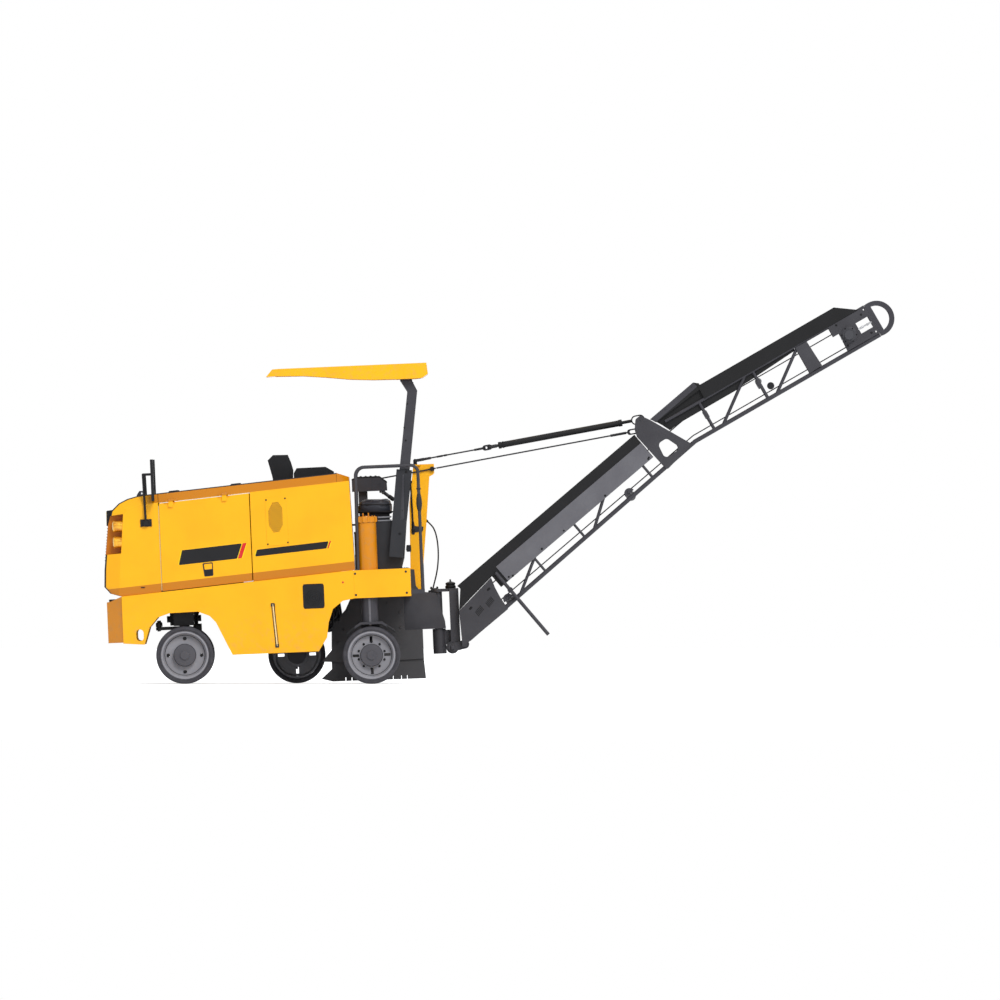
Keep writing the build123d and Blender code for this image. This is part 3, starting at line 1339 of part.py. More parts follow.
HOOP_RADIUS = 167.0
HOOP_BAND = 44.0
HOOP_PLATE = 14.0
HOOP_START_P = UPPER_LENGTH + 8.2


def discharge_hoop():
    """A D-shaped guard plate on each side of the belt's head, joined by three tubes."""
    centre = upper(2037, 146)
    inner = CONVEYOR_HALF_WIDTH - 6
    y0, y1 = SLEW_Y - inner - HOOP_PLATE, SLEW_Y + inner + HOOP_PLATE

    def half_disc(radius, start_p):
        beyond = [upper(start_p, -200), upper(2400, -200), upper(2400, 500), upper(start_p, 500)]
        return cross_bar(*centre, y0, y1, radius) & side_plate(beyond, y0, y1)

    ring = half_disc(HOOP_RADIUS, HOOP_START_P) - half_disc(HOOP_RADIUS - HOOP_BAND, HOOP_START_P + HOOP_BAND)
    hoop = ring - slab(-4000, 4000, SLEW_Y - inner, SLEW_Y + inner, 0, 6000)
    middle = HOOP_RADIUS - HOOP_BAND / 2
    for turn in (-62, 0, 62):
        p, q = 2037 + middle * cos(radians(turn)), 146 + middle * sin(radians(turn))
        hoop += across(upper(p, q), inner + HOOP_PLATE / 2, 13)
    return hoop


STAND_U = 758.0
STAND_V = 60.0
STAND_Y = SLEW_Y + CONVEYOR_HALF_WIDTH + 36
STAND_RADIUS = 17.0


def stand():
    top, foot = lower(STAND_U, 272), lower(STAND_U, -490)
    leg = rod((top[0], STAND_Y, top[1]), (foot[0], STAND_Y, foot[1]), STAND_RADIUS)
    pivot = lower(STAND_U, STAND_V)
    leg += cross_bar(*pivot, STAND_Y - STAND_RADIUS, STAND_Y + STAND_RADIUS, 26)
    return leg - cross_bar(*pivot, STAND_Y - 40, STAND_Y + 40, 10 + RUN_GAP)


def stand_mount():
    pivot = lower(STAND_U, STAND_V)
    foot = lower(STAND_U, chord_v(STAND_U))
    y0 = SLEW_Y + CHORD_Y
    boss = cross_bar(*pivot, y0 - 2, STAND_Y - STAND_RADIUS - 1, 24)
    pin = cross_bar(*pivot, y0, STAND_Y + 26, 10)
    return boss + pin + link(pivot, foot, 16, y0 - 2, y0 + 14)


keep("conveyor_chords", chord_frame() + stand_mount())
keep("conveyor_plates", tail_plates(), gusset_plates(), head_plates())
keep("side_boards", side_boards(), upper_boards())
keep("cover_panels", cover_panels())
keep("conveyor_belt", belt())
keep("belt_rollers", *rollers(), *head_drive())
keep("discharge_hoop", discharge_hoop())
keep("conveyor_stand", stand())

# ---------------------------------------------------------------- stays


def along(a, b, distance):
    """The point at a distance from a on the way to b."""
    length = hypot(b[0] - a[0], b[1] - a[1])
    return (a[0] + (b[0] - a[0]) * distance / length, a[1] + (b[1] - a[1]) * distance / length)


STAY_ANCHOR = (STAY_X, STAY_Z)
STAY_LENGTH = hypot(STAY_PIN[0] - STAY_X, STAY_PIN[1] - STAY_Z)


def stay(d):
    return along(STAY_ANCHOR, STAY_PIN, d)


def stay_rod(d0, d1, radius):
    a, b = stay(d0), stay(d1)
    return rod((a[0], SLEW_Y, a[1]), (b[0], SLEW_Y, b[1]), radius)


def stay_swivel():
    x, y, z = STAY_X, SLEW_Y, STAY_Z
    shape = rod((x, y, 2056), (x, y, z - 20), 12)
    shape += rod((x, y, 2073.5), (x, y, 2079), 20)
    shape += slab(x - 18, x + 18, y - 7, y + 7, 2079, z) + cross_bar(x, z, y - 7, y + 7, 18)
    return shape - cross_bar(x, z, y - 30, y + 30, 8 + RUN_GAP)


def upper_stay():
    """Fork on the mast's swivel, wire, thimble and the cylinder's rod, all in one line."""
    x, y, z = STAY_X, SLEW_Y, STAY_Z
    fork = None
    for side in (-1, 1):
        y0, y1 = sorted((y + side * 9, y + side * 16))
        cheek = link(STAY_ANCHOR, stay(70), 14, y0, y1)
        fork = cheek if fork is None else fork + cheek
    shape = fork + cross_bar(x, z, y - 20, y + 20, 8)
    shape += link(stay(60), stay(80), 14, y - 16, y + 16)
    shape += stay_rod(75, 150, 12) + stay_rod(140, 640, WIRE_RADIUS) + stay_rod(600, 650, 11)
    shape += link(stay(665), stay(705), 26, y - 9, y + 9)
    shape -= cross_bar(*stay(675), y - 20, y + 20, 11)
    shape += stay_rod(700, 775, 17) + stay_rod(760, 1900, 14)
    return shape + stay_rod(1880, 1900, 19.94)


CYLINDER_START = 790.0
CYLINDER_END = 1965.0
SLOT_CLEAR = 19.0  # above and below the cross bar in the slotted link
SLOT_END_CLEAR = 12.0
SLEW_SHORTENING = 54.0  # how much nearer the cross bar comes at full slew


def luff_cylinder():
    """Tube with a long slotted link, in which the conveyor's cross bar can move when it slews."""
    y = SLEW_Y
    shape = stay_rod(CYLINDER_START, CYLINDER_END, 28.5)
    shape -= stay_rod(CYLINDER_START + 30, CYLINDER_END - 25, 20)
    shape -= stay_rod(CYLINDER_START - 5, CYLINDER_START + 40, 14 + RUN_GAP)
    slot_half = PIN_BAR + SLOT_CLEAR
    d1 = STAY_LENGTH + PIN_BAR + SLOT_END_CLEAR - slot_half
    d0 = STAY_LENGTH - SLEW_SHORTENING - PIN_BAR - SLOT_END_CLEAR + slot_half
    shape += link(stay(d0), stay(d1), slot_half + 12, y - 11, y + 11)
    shape += stay_rod(CYLINDER_END - 5, d0 - slot_half - 6, 15)
    return shape - link(stay(d0), stay(d1), slot_half, y - 20, y + 20)


WIRE_EYE = (EYE_X, EYE_Z)


def wire(d):
    return along(WIRE_EYE, WIRE_PIN, d)


def wire_rod(d0, d1, radius):
    a, b = wire(d0), wire(d1)
    return rod((a[0], SLEW_Y, a[1]), (b[0], SLEW_Y, b[1]), radius)


WIRE_LENGTH = hypot(WIRE_PIN[0] - EYE_X, WIRE_PIN[1] - EYE_Z)
TAIL_LENGTH = 548.0
WIRE_JOINT = 35.0  # where the sliding tail ends behind the eye
WIRE_JOINT_GAP = 5.0


def safety_wire():
    y = SLEW_Y
    shape = wire_rod(WIRE_JOINT + WIRE_JOINT_GAP, WIRE_LENGTH - 70, WIRE_RADIUS)
    shape += wire_rod(WIRE_LENGTH - 260, WIRE_LENGTH - 110, 12)
    shape += link(wire(WIRE_LENGTH - 75), WIRE_PIN, 27, y - 9, y + 9)
    return shape - link(wire(WIRE_LENGTH - 62), WIRE_PIN, PIN_BAR + 0.4, y - 20, y + 20)


def wire_guide():
    y = SLEW_Y
    body = cross_bar(*WIRE_EYE, y - WIRE_BESIDE_MAST + 1, y + 12, 22)
    body += cross_bar(*WIRE_EYE, y - WIRE_BESIDE_MAST - 14, y, 9)
    return body - wire_rod(-60, 60, WIRE_RADIUS + RUN_GAP)


def wire_tail():
    return wire_rod(-TAIL_LENGTH, WIRE_JOINT, WIRE_RADIUS) + wire_rod(-TAIL_LENGTH - 16, -TAIL_LENGTH, 15)


keep("stay_swivel", stay_swivel())
keep("upper_stay", upper_stay())
keep("luff_cylinder", luff_cylinder())
keep("safety_wire", safety_wire())
keep("wire_guide", wire_guide())
keep("wire_tail", wire_tail())

# ---------------------------------------------------------------- free hose on the mast

HOSE_RADIUS = 7.0
HOSE_POINTS = [
    (612, -352, 1536),
    (574, -356, 1500),
    (549, -360, 1452),
    (534, -365, 1392),
    (526, -370, 1322),
    (524, -376, 1248),
    (528, -382, 1172),
    (538, -388, 1098),
    (554, -392, 1026),
    (574, -395, 960),
    (590, -396, 905),
]


def hose_radii(points):
    radii = []
    for before, here, after in zip(points, points[1:], points[2:]):
        run_in, run_out = Vector(*here) - Vector(*before), Vector(*after) - Vector(*here)
        turn = radians(run_in.get_angle(run_out))
        radii.append(0.45 * min(run_in.length, run_out.length) / tan(turn / 2))
    return radii


radii = hose_radii(HOSE_POINTS)
print("hose bend radii", [round(r) for r in radii])
keep("mast_hose", bent_tube(HOSE_POINTS, radii, HOSE_RADIUS))


def hose_ends():
    """The socket on the mast and the one on the bracket's shelf."""
    first, second = Vector(*HOSE_POINTS[0]), Vector(*HOSE_POINTS[1])
    last, before = Vector(*HOSE_POINTS[-1]), Vector(*HOSE_POINTS[-2])
    into_mast = (first - second).normalized()
    top = rod(tuple(first), tuple(first + into_mast * 40), 12)
    into_shelf = (last - before).normalized()
    low_end = last + into_shelf * ((last.Z - SHELF_Z) / abs(into_shelf.Z) + 20)
    low = rod(tuple(last), tuple(low_end), 12)
    low = low & slab(0, 2000, -1000, 1000, SHELF_Z, 2000)
    return top - mast(), low


keep("hose_sockets", *hose_ends())

# ---------------------------------------------------------------- remaining fittings

keep("headlamps", *[lamp(y, z) for y, z in LAMPS])
keep("mirrors", mirror(1) - hood_outer(), mirror(-1) - hood_outer())

# ---------------------------------------------------------------- write the files

os.makedirs("parts", exist_ok=True)
for name, shape in NODES.items():
    export_step(shape, "parts/" + name + ".step")
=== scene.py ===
# %% [markdown]
# # A small cold planer with its loading conveyor
# This lesson dresses a machine whose hard parts are already drawn. The drawn parts are loaded first
# and stay where they are. Everything made here is bolted to one of them, so it moves when they move.

# %% Load the drawn machine
from math import cos, pi, radians, sin

import bmesh
import bpy
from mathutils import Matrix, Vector


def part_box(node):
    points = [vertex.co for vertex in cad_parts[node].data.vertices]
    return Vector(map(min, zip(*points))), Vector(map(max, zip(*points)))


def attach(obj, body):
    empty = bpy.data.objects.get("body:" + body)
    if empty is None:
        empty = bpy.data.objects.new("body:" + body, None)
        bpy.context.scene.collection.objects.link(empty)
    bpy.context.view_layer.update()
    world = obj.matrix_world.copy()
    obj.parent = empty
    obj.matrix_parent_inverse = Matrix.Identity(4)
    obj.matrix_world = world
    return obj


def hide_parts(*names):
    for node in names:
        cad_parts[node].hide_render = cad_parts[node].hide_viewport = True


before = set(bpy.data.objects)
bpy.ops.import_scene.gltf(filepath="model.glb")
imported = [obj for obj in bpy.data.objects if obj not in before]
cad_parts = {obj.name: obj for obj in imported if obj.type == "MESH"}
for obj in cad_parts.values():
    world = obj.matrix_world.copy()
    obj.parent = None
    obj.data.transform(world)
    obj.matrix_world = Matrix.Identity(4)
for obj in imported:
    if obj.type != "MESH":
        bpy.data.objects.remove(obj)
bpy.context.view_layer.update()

# %% [markdown]
# ## Where things are
# The body stands nose down by 2.4 degrees on its lifting columns. It is easier to place a bolt on a
# panel in the body's own level lines, so `body` takes millimetres along those lines and gives the
# point in metres. The conveyor is a long straight frame with one bend, and `low` and `high` do the
# same along its two sections: how far up the belt, and how far out from the bottom tube.

# %% Measuring along the machine
PITCH = radians(2.4)
HOOD_FOOT = (3483, 959)  # the lower front corner of the hood's side
HOOD_RISE = radians(4.13)
LUFF = (428.0, 354.0)  # the pin that the conveyor tips up on
LOW_SLOPE = radians(38.1)
HIGH_SLOPE = radians(27.6)
BELT_Y = -280.0  # the belt's middle line
SIDE = 650.0  # the face of the sheet metal on the left


def body(x, y, z):
    """A point in metres from millimetres in the body's level lines."""
    return Vector((x * cos(PITCH) + z * sin(PITCH), y, z * cos(PITCH) - x * sin(PITCH))) / 1000


def level(x, z):
    """A point above the level ground, in the body's lines."""
    return (x * cos(PITCH) - z * sin(PITCH), x * sin(PITCH) + z * cos(PITCH))


def up_slope(start, slope, run, rise):
    """A point run back and up a slope from its start, and rise square to it."""
    return (start[0] - run * cos(slope) + rise * sin(slope), start[1] + run * sin(slope) + rise * cos(slope))


def on_hood(run, rise):
    """A point on the hood's side, from its foot."""
    return up_slope(HOOD_FOOT, HOOD_RISE, run, rise)


def low(u, v):
    """A point beside the conveyor's lower section."""
    return up_slope(LUFF, LOW_SLOPE, u, v)


BEND = low(2969, -8)


def high(p, q):
    """A point beside the conveyor's upper section."""
    return up_slope(BEND, HIGH_SLOPE, p, q)


print("conveyor bend:", [round(v, 3) for v in body(BEND[0], BELT_Y, BEND[1])])

# %% [markdown]
# ## The camera
# The machine is seen square from its left side, from far away with a long lens, so that parallel
# lines stay parallel. The camera stands level and looks at a point a little under the middle of the
# conveyor. One long lens from far away does what a flat drawing would, and still gives true
# perspective when another view comes nearer.

# %% Camera
FRAME_WIDTH = 9.3
AIM_HEIGHT = 1.711
camera_data = bpy.data.cameras.new("long_lens")
camera_data.lens = 1000
camera_data.sensor_width = 36
distance = FRAME_WIDTH * camera_data.lens / camera_data.sensor_width
camera_data.clip_start = 1
camera_data.clip_end = 900
camera = bpy.data.objects.new("camera", camera_data)
bpy.context.scene.collection.objects.link(camera)
camera.location = (0, SIDE / 1000 + distance, AIM_HEIGHT)
camera.rotation_euler = (radians(90), 0, radians(180))
bpy.context.scene.camera = camera
print("camera distance:", round(distance, 1), "m")

# %% [markdown]
# ## Number sheets for the finishes
# A finish is a small net of nodes. Three helpers keep it readable. `Flow` wraps one output, and sums
# written on it, such as `1 - dust`, add Math nodes. `Net` holds the nodes, and its method `add`
# makes any other node from its type, its settings and what goes into its sockets. `Finish` is the net
# of one material. Colours are mixed with Mix nodes, because a Math node would turn them grey.

# %% Flow, Net and Finish
def paint(red, green, blue):
    """A colour written as on a paint card, from 0 to 255, as the light values that the shader wants."""
    shares = [value / 255 for value in (red, green, blue)]
    light = [((share + 0.055) / 1.055) ** 2.4 if share > 0.04 else share / 12.92 for share in shares]
    return (*light, 1.0)


class Flow:
    """One output of a node. Sums on it add Math nodes."""

    def __init__(self, net, socket):
        self.net = net
        self.socket = socket

    def sum_with(self, operation, first, second):
        return self.net.add("ShaderNodeMath", {"operation": operation}, {0: first, 1: second})

    def __add__(self, other):
        return self.sum_with("ADD", self, other)

    def __sub__(self, other):
        return self.sum_with("SUBTRACT", self, other)

    def __rsub__(self, other):
        return self.sum_with("SUBTRACT", other, self)

    def __mul__(self, other):
        return self.sum_with("MULTIPLY", self, other)

    __radd__ = __add__
    __rmul__ = __mul__


class Net:
    """A net of nodes, empty at first."""

    def __init__(self, owner):
        owner.use_nodes = True
        self.tree = owner.node_tree
        self.tree.nodes.clear()

    def add(self, kind, settings, values, output=0):
        """A node of any kind: its settings first, then its sockets. Gives one of its outputs."""
        node = self.tree.nodes.new(kind)
        for key, value in settings.items():
            setattr(node, key, value)
        for key, value in values.items():
            if isinstance(value, Flow):
                self.tree.links.new(value.socket, node.inputs[key])
            else:
                node.inputs[key].default_value = value
        return None if output is None else Flow(self, node.outputs[output])

    def seen_straight(self):
        """1 for the camera's rays, and for those that it gets from a mirror or through a glass."""
        camera_ray, mirrored, through = [
            self.add("ShaderNodeLightPath", {}, {}, kind)
            for kind in ("Is Camera Ray", "Is Glossy Ray", "Is Transmission Ray")
        ]
        return camera_ray + mirrored + through


FINISHES = {}


class Finish(Net):
    """A paint or a bare metal: one material with its net of nodes."""

    def __init__(self, name, colour, roughness, metallic=0.0, coat=0.0):
        material = bpy.data.materials.new(name)
        material.diffuse_color = colour
        super().__init__(material)
        shader = {"Base Color": colour, "Roughness": roughness, "Metallic": metallic, "Coat Weight": coat}
        self.shader = self.add("ShaderNodeBsdfPrincipled", {}, shader).socket.node
        self.shader.inputs["Coat Roughness"].default_value = 0.12
        self.shader.inputs["Specular IOR Level"].default_value = 0.25
        self.add("ShaderNodeOutputMaterial", {}, {"Surface": Flow(self, self.shader.outputs[0])}, None)
        self.spot = self.add("ShaderNodeTexCoord", {}, {}, "Object")
        FINISHES[name] = material

    def set(self, socket, flow):
        """Feed what changes over the surface to the shader."""
        self.tree.links.new(flow.socket, self.shader.inputs[socket])

    def grain(self, scale, detail=2.0, stretch=None):
        """Cloudy values from 0 to 1, scale of them to the metre."""
        spot = self.spot
        if stretch:
            spot = self.add("ShaderNodeVectorMath", {"operation": "MULTIPLY"}, {0: spot, 1: stretch})
        return self.add("ShaderNodeTexNoise", {}, {"Vector": spot, "Scale": scale, "Detail": detail})

    def step(self, flow, low_end, high_end):
        """0 under the low end, 1 over the high end, smooth between."""
        ends = {"Value": flow, "From Min": low_end, "From Max": high_end}
        return self.add("ShaderNodeMapRange", {"interpolation_type": "SMOOTHSTEP"}, ends)

    def blend(self, mask, first, second):
        """The first colour where the mask is 0, the second where it is 1."""
        return self.add("ShaderNodeMix", {"data_type": "RGBA"}, {0: mask, 6: first, 7: second}, 2)

    def over(self, flow, limit, soft=0.0015):
        """0 under a limit and 1 over it, with a narrow soft line between."""
        return self.step(flow, limit - soft, limit + soft)

    def upward(self):
        """1 on faces that look straight up, -1 on those that look at the ground."""
        normal = self.add("ShaderNodeNewGeometry", {}, {}, "Normal")
        return self.add("ShaderNodeSeparateXYZ", {}, {0: normal}, 2)

    def facing_down(self):
        """1 on faces that look at the ground, 0 on upright ones."""
        return self.step(0 - self.upward(), 0.02, 0.55)

    def facing_up(self):
        """1 on faces that dust lies on, 0 on upright ones."""
        return self.step(self.upward(), 0.3, 0.95)

    def place(self, axis):
        """Metres along X, Y or Z, counted 0, 1 and 2."""
        return self.add("ShaderNodeSeparateXYZ", {}, {0: self.spot}, axis)

    def height(self):
        """Metres above the drawn floor."""
        return self.place(2)

    def without_sign(self, flow):
        return self.add("ShaderNodeMath", {"operation": "ABSOLUTE"}, {0: flow})

    def soft_edges(self, radius, bump=None, strength=0.1, depth=0.001):
        """Rounds sharp edges in the light only, and lays a bump over them."""
        edge = self.add("ShaderNodeBevel", {"samples": 4}, {"Radius": radius})
        if bump is not None:
            relief = {"Height": bump, "Normal": edge, "Strength": strength, "Distance": depth}
            self.set("Normal", self.add("ShaderNodeBump", {}, relief))
        else:
            self.set("Normal", edge)
        return edge

    def worn_edges(self, edge, amount):
        """1 on sharp edges where paint is rubbed thin, broken up by a grain."""
        normal = self.add("ShaderNodeNewGeometry", {}, {}, "Normal")
        same = self.add("ShaderNodeVectorMath", {"operation": "DOT_PRODUCT"}, {0: edge, 1: normal}, 1)
        return self.step((1 - same) + self.grain(35, 4) * 0.35, 0.42 - amount, 0.62 - amount)


print("a plain white on a paint card is", paint(255, 255, 255))

# %% [markdown]
# ## Paint on the body
# The sheet metal has a glossy two-part paint, a warm yellow. On the real machine it is sprayed, so it
# has a faint orange-peel and a film of road dust low down. Faces that look at the ground are given a
# deeper colour, which is a painted shade. A flat colour would look like plastic, so those three are
# painted into the base colour and the roughness, and the folded edges of the sheets are rounded in the light.

# %% Glossy paint
YELLOW = paint(252, 180, 6)
# The deeper yellow below is a random tone in the paint. It is also a painted shade on faces that look down,
# on the hood's strip and band, and on the lamp pockets' walls.
DEEP_AND_SHADED_YELLOW = paint(186, 106, 0)
DUST = paint(150, 132, 104)


def glossy_paint(name, colour, deep_and_shaded, dust_top, peel=140):
    f = Finish(name, colour, 0.32, coat=0.2)
    cloud = f.grain(3.0, 3)
    tone = f.blend(f.step(cloud, 0.35, 0.75) * 0.12, colour, deep_and_shaded)
    # Painted shade: faces that look at the ground get the deeper tone.
    tone = f.blend(f.facing_down() * 0.85, tone, deep_and_shaded)
    low_down = f.step(0 - f.height() + cloud * 0.5, -dust_top, 0.15 - dust_top * 0.4)
    film = low_down * f.step(f.grain(22, 5), 0.45, 0.75)
    tone = f.blend(film * 0.22, tone, DUST)
    f.set("Base Color", tone)
    f.set("Roughness", 0.27 + film * 0.3 + f.grain(60, 3) * 0.08)
    f.soft_edges(0.004, f.grain(peel, 2), 0.06, 0.0008)


glossy_paint("yellow_paint", YELLOW, DEEP_AND_SHADED_YELLOW, 0.55)
glossy_paint("roof_gelcoat", paint(252, 184, 8), paint(200, 124, 8), -5.0, peel=70)
glossy_paint("stripe_yellow", paint(255, 222, 0), paint(240, 200, 0), -5.0)
glossy_paint("stripe_red", paint(214, 28, 30), paint(160, 16, 20), -5.0)
print("paints:", sorted(FINISHES))

# %% [markdown]
# ## Satin and matt coats
# Frames, brackets and the conveyor are dark grey or black in a satin chassis coat. It is duller than
# the body paint and thicker, with a fine leathery grain. Edges that people climb on or that rub are
# polished to a lighter grey. One recipe with a colour, a roughness and an amount of wear gives all of
# them, so the whole underside looks as if it came from the same paint shop.

# %% Satin coats
def satin_coat(name, colour, light, roughness, wear=0.02, grain=90, relief=0.12):
    f = Finish(name, colour, roughness)
    cloud = f.grain(5.0, 4)
    tone = f.blend(f.step(cloud, 0.3, 0.8) * 0.35, colour, light)
    edge = f.soft_edges(0.003, f.grain(grain * 4, 3), relief, 0.0006)
    rubbed = f.worn_edges(edge, wear)
    dust = f.facing_up() * f.step(f.grain(14, 5), 0.4, 0.7)
    tone = f.blend(rubbed * 0.5, tone, light)
    f.set("Base Color", f.blend(dust * 0.12, tone, DUST))
    f.set("Roughness", roughness + cloud * 0.12 - rubbed * 0.1)


satin_coat("dark_grey_coat", paint(54, 53, 58), paint(76, 76, 80), 0.42)
satin_coat("bracket_grey_coat", paint(56, 55, 59), paint(78, 78, 82), 0.45)
satin_coat("cover_grey_coat", paint(94, 93, 98), paint(116, 116, 120), 0.4)
satin_coat("rim_grey_coat", paint(136, 135, 140), paint(158, 158, 163), 0.42, wear=0.06)
satin_coat("black_coat", paint(14, 14, 16), paint(40, 40, 43), 0.38)
satin_coat("deep_black_coat", paint(10, 10, 12), paint(28, 28, 31), 0.5)
satin_coat("housing_coat", paint(62, 61, 63), paint(78, 77, 77), 0.55, wear=0.08, relief=0.25)
satin_coat("moulded_black", paint(16, 16, 19), paint(32, 32, 35), 0.55, grain=220, relief=0.3)
satin_coat("console_grey", paint(36, 37, 41), paint(54, 55, 59), 0.5, grain=200, relief=0.25)
satin_coat("louvre_grey", paint(120, 122, 128), paint(150, 152, 157), 0.4)
satin_coat("cast_block", paint(66, 68, 70), paint(96, 98, 100), 0.6, grain=40, relief=0.5)
print("coats:", len(FINISHES))

# %% [markdown]
# ## Rubber, belt and cushion cover
# Solid tyres are hard grey-black rubber, scuffed pale on the tread and smooth on the shoulder. The
# belt is darker and has a fine fabric print from the press. The seat cover is a coated cloth with a
# pebbled skin. They share the idea of a small cell pattern in the bump and a cloud in the colour.

# %% Rubber and seat cover
def rubber(name, colour, scuffed, roughness, cells, relief):
    f = Finish(name, colour, roughness)
    scuff = f.step(f.grain(18, 6), 0.42, 0.7)
    f.set("Base Color", f.blend(scuff * 0.55, colour, scuffed))
    f.set("Roughness", roughness + scuff * 0.15)
    bubbles = f.add("ShaderNodeTexVoronoi", {}, {"Vector": f.spot, "Scale": cells})
    f.soft_edges(0.003, bubbles + f.grain(30, 3) * 0.4, relief, 0.0008)


rubber("tyre_rubber", paint(58, 57, 62), paint(78, 77, 82), 0.62, 420, 0.12)
rubber("tread_rubber", paint(44, 44, 47), paint(78, 76, 73), 0.75, 240, 0.3)
rubber("belt_rubber", paint(22, 22, 24), paint(40, 39, 38), 0.6, 300, 0.2)
rubber("hose_rubber", paint(26, 26, 28), paint(40, 40, 42), 0.5, 700, 0.15)
rubber("seat_cover", paint(36, 38, 46), paint(50, 53, 62), 0.48, 520, 0.35)
print("soft finishes added:", len(FINISHES))

# %% [markdown]
# ## Bare metal and lamp glass
# Screws and the drum are bare steel with a brushed line along them. The ropes are steel strands,
# which a bump of slanting waves shows well at this size. The milling tools are carbide in tool steel
# that road grit keeps bright at the tip. The lamp lenses are ribbed glass over a warm reflector.

# %% Metal and lamp glass
def bare_metal(name, colour, roughness, stretch, relief=0.15):
    f = Finish(name, colour, roughness, metallic=0.9)
    lines = f.grain(60, 4, stretch)
    film = f.step(f.grain(9, 4), 0.45, 0.8)
    f.set("Base Color", f.blend(film * 0.4, colour, paint(92, 86, 78)))
    f.set("Roughness", roughness + lines * 0.15 + film * 0.15)
    f.soft_edges(0.002, lines, relief, 0.0005)


bare_metal("bright_steel", paint(188, 189, 192), 0.24, (1, 12, 1))
bare_metal("drum_steel", paint(96, 92, 88), 0.45, (3, 8, 3), 0.4)
bare_metal("tool_tip", paint(150, 146, 140), 0.3, (4, 4, 4))


def rope_finish():
    """Dark steel strands, laid in a slant along the rope."""
    f = Finish("steel_rope", paint(40, 40, 42), 0.4, metallic=0.3)
    slant = f.add("ShaderNodeVectorMath", {"operation": "MULTIPLY"}, {0: f.spot, 1: (1, 2.2, 2.0)})
    strands = f.add("ShaderNodeTexWave", {"bands_direction": "DIAGONAL"}, {"Vector": slant, "Scale": 34})
    f.set("Base Color", f.blend(strands * 0.8, paint(20, 20, 22), paint(66, 66, 69)))
    f.set("Roughness", 0.3 + strands * 0.15)
    f.soft_edges(0.001, strands, 0.6, 0.0012)


rope_finish()


def lens_finish():
    """Warm glass pressed in rings."""
    f = Finish("lamp_lens", paint(255, 214, 120), 0.08, coat=0.6)
    pressed = {"wave_type": "RINGS", "rings_direction": "X"}
    rings = f.add("ShaderNodeTexWave", pressed, {"Vector": f.spot, "Scale": 30})
    f.set("Base Color", f.blend(rings * 0.5, paint(255, 222, 140), paint(210, 160, 60)))
    f.soft_edges(0.002, rings, 0.3, 0.002)


lens_finish()
print("all finishes:", len(FINISHES))

# %% [markdown]
# ## More finishes
# A few parts need a coat of their own: the lifting columns and the front bumper are a deeper yellow,
# a painted shade, the wheels' hubs are darker than the rims, the lamp shells are a golden lacquer over
# metal, and a pale coat serves the gauge's tube and the strip in the nose's seam, a painted highlight.
# The hood's paint is deeper on the strip above its crease and on the band along its bottom, a painted
# shade, so the strip and the band are found from the hood's own climbing lines.

# %% Special coats
# Painted shade: the lifting columns and the front bumper wear this deeper yellow in place of their shade.
glossy_paint("column_painted_shade", paint(214, 134, 4), paint(150, 84, 0), -5.0)
satin_coat("rim_shadow_coat", paint(72, 71, 76), paint(90, 90, 95), 0.4)
# This pale coat serves the gauge's tube, and the strip in the nose's seam, where it is a painted highlight.
satin_coat("pale_tube_and_painted_highlight", paint(240, 214, 150), paint(250, 232, 190), 0.5, grain=200)
satin_coat("lug_grey", paint(66, 67, 75), paint(92, 94, 102), 0.4)


def lamp_gold():
    """Golden lacquer over bright metal."""
    f = Finish("lamp_gold", paint(232, 168, 40), 0.22, metallic=0.6, coat=0.6)
    f.set("Base Color", f.blend(f.step(f.grain(20, 3), 0.3, 0.8), paint(240, 178, 44), paint(190, 120, 16)))
    f.soft_edges(0.002, f.grain(300, 2), 0.04, 0.0005)


lamp_gold()


# places on the hood and the grille, in metres
CREASE = 0.83  # up the hood's side, square to its climbing lines
SHADE_BAND_TOP = 0.081
NOSE_FADE = (3.20, 3.36)  # the strip over the crease fades out here, towards the nose
FLAT_TOP_HALF = 0.5965  # the black top ends at this width and at this X
FLAT_TOP_REAR = 1.52
POCKET_HEIGHTS = (1.19, 1.592)
POCKET_WALL = 0.536


def hood_paint():
    """Glossy paint, deeper over the hood's crease and along its bottom as a painted shade, and black on its
    flat top.
    """
    f = Finish("hood_black_top_and_painted_shade", YELLOW, 0.3, coat=0.2)
    climb = PITCH + HOOD_RISE
    along = f.place(0)
    foot = body(HOOD_FOOT[0], 0, HOOD_FOOT[1])
    start = foot.x * sin(climb) + foot.z * cos(climb)
    rise = along * sin(climb) + f.height() * cos(climb) - start
    cloud = f.grain(3.0, 3)
    tone = f.blend(f.step(cloud, 0.35, 0.75) * 0.12, YELLOW, DEEP_AND_SHADED_YELLOW)
    # Painted shade: the strip over the crease and the band along the bottom take the deeper yellow.
    strip = f.over(rise, CREASE) * (1 - f.step(along, *NOSE_FADE))
    band = 1 - f.over(rise, SHADE_BAND_TOP)
    tone = f.blend(strip * 0.85 + band * 0.85, tone, DEEP_AND_SHADED_YELLOW)
    beside_top = f.over(f.without_sign(f.place(1)), FLAT_TOP_HALF, 0.001)
    flat_top = (1 - beside_top) * f.over(along, FLAT_TOP_REAR, 0.005)
    f.set("Base Color", f.blend(flat_top, tone, paint(22, 22, 25)))
    f.set("Roughness", 0.28 + f.grain(60, 3) * 0.08 + flat_top * 0.12)
    f.soft_edges(0.004, f.grain(140, 2), 0.06, 0.0008)


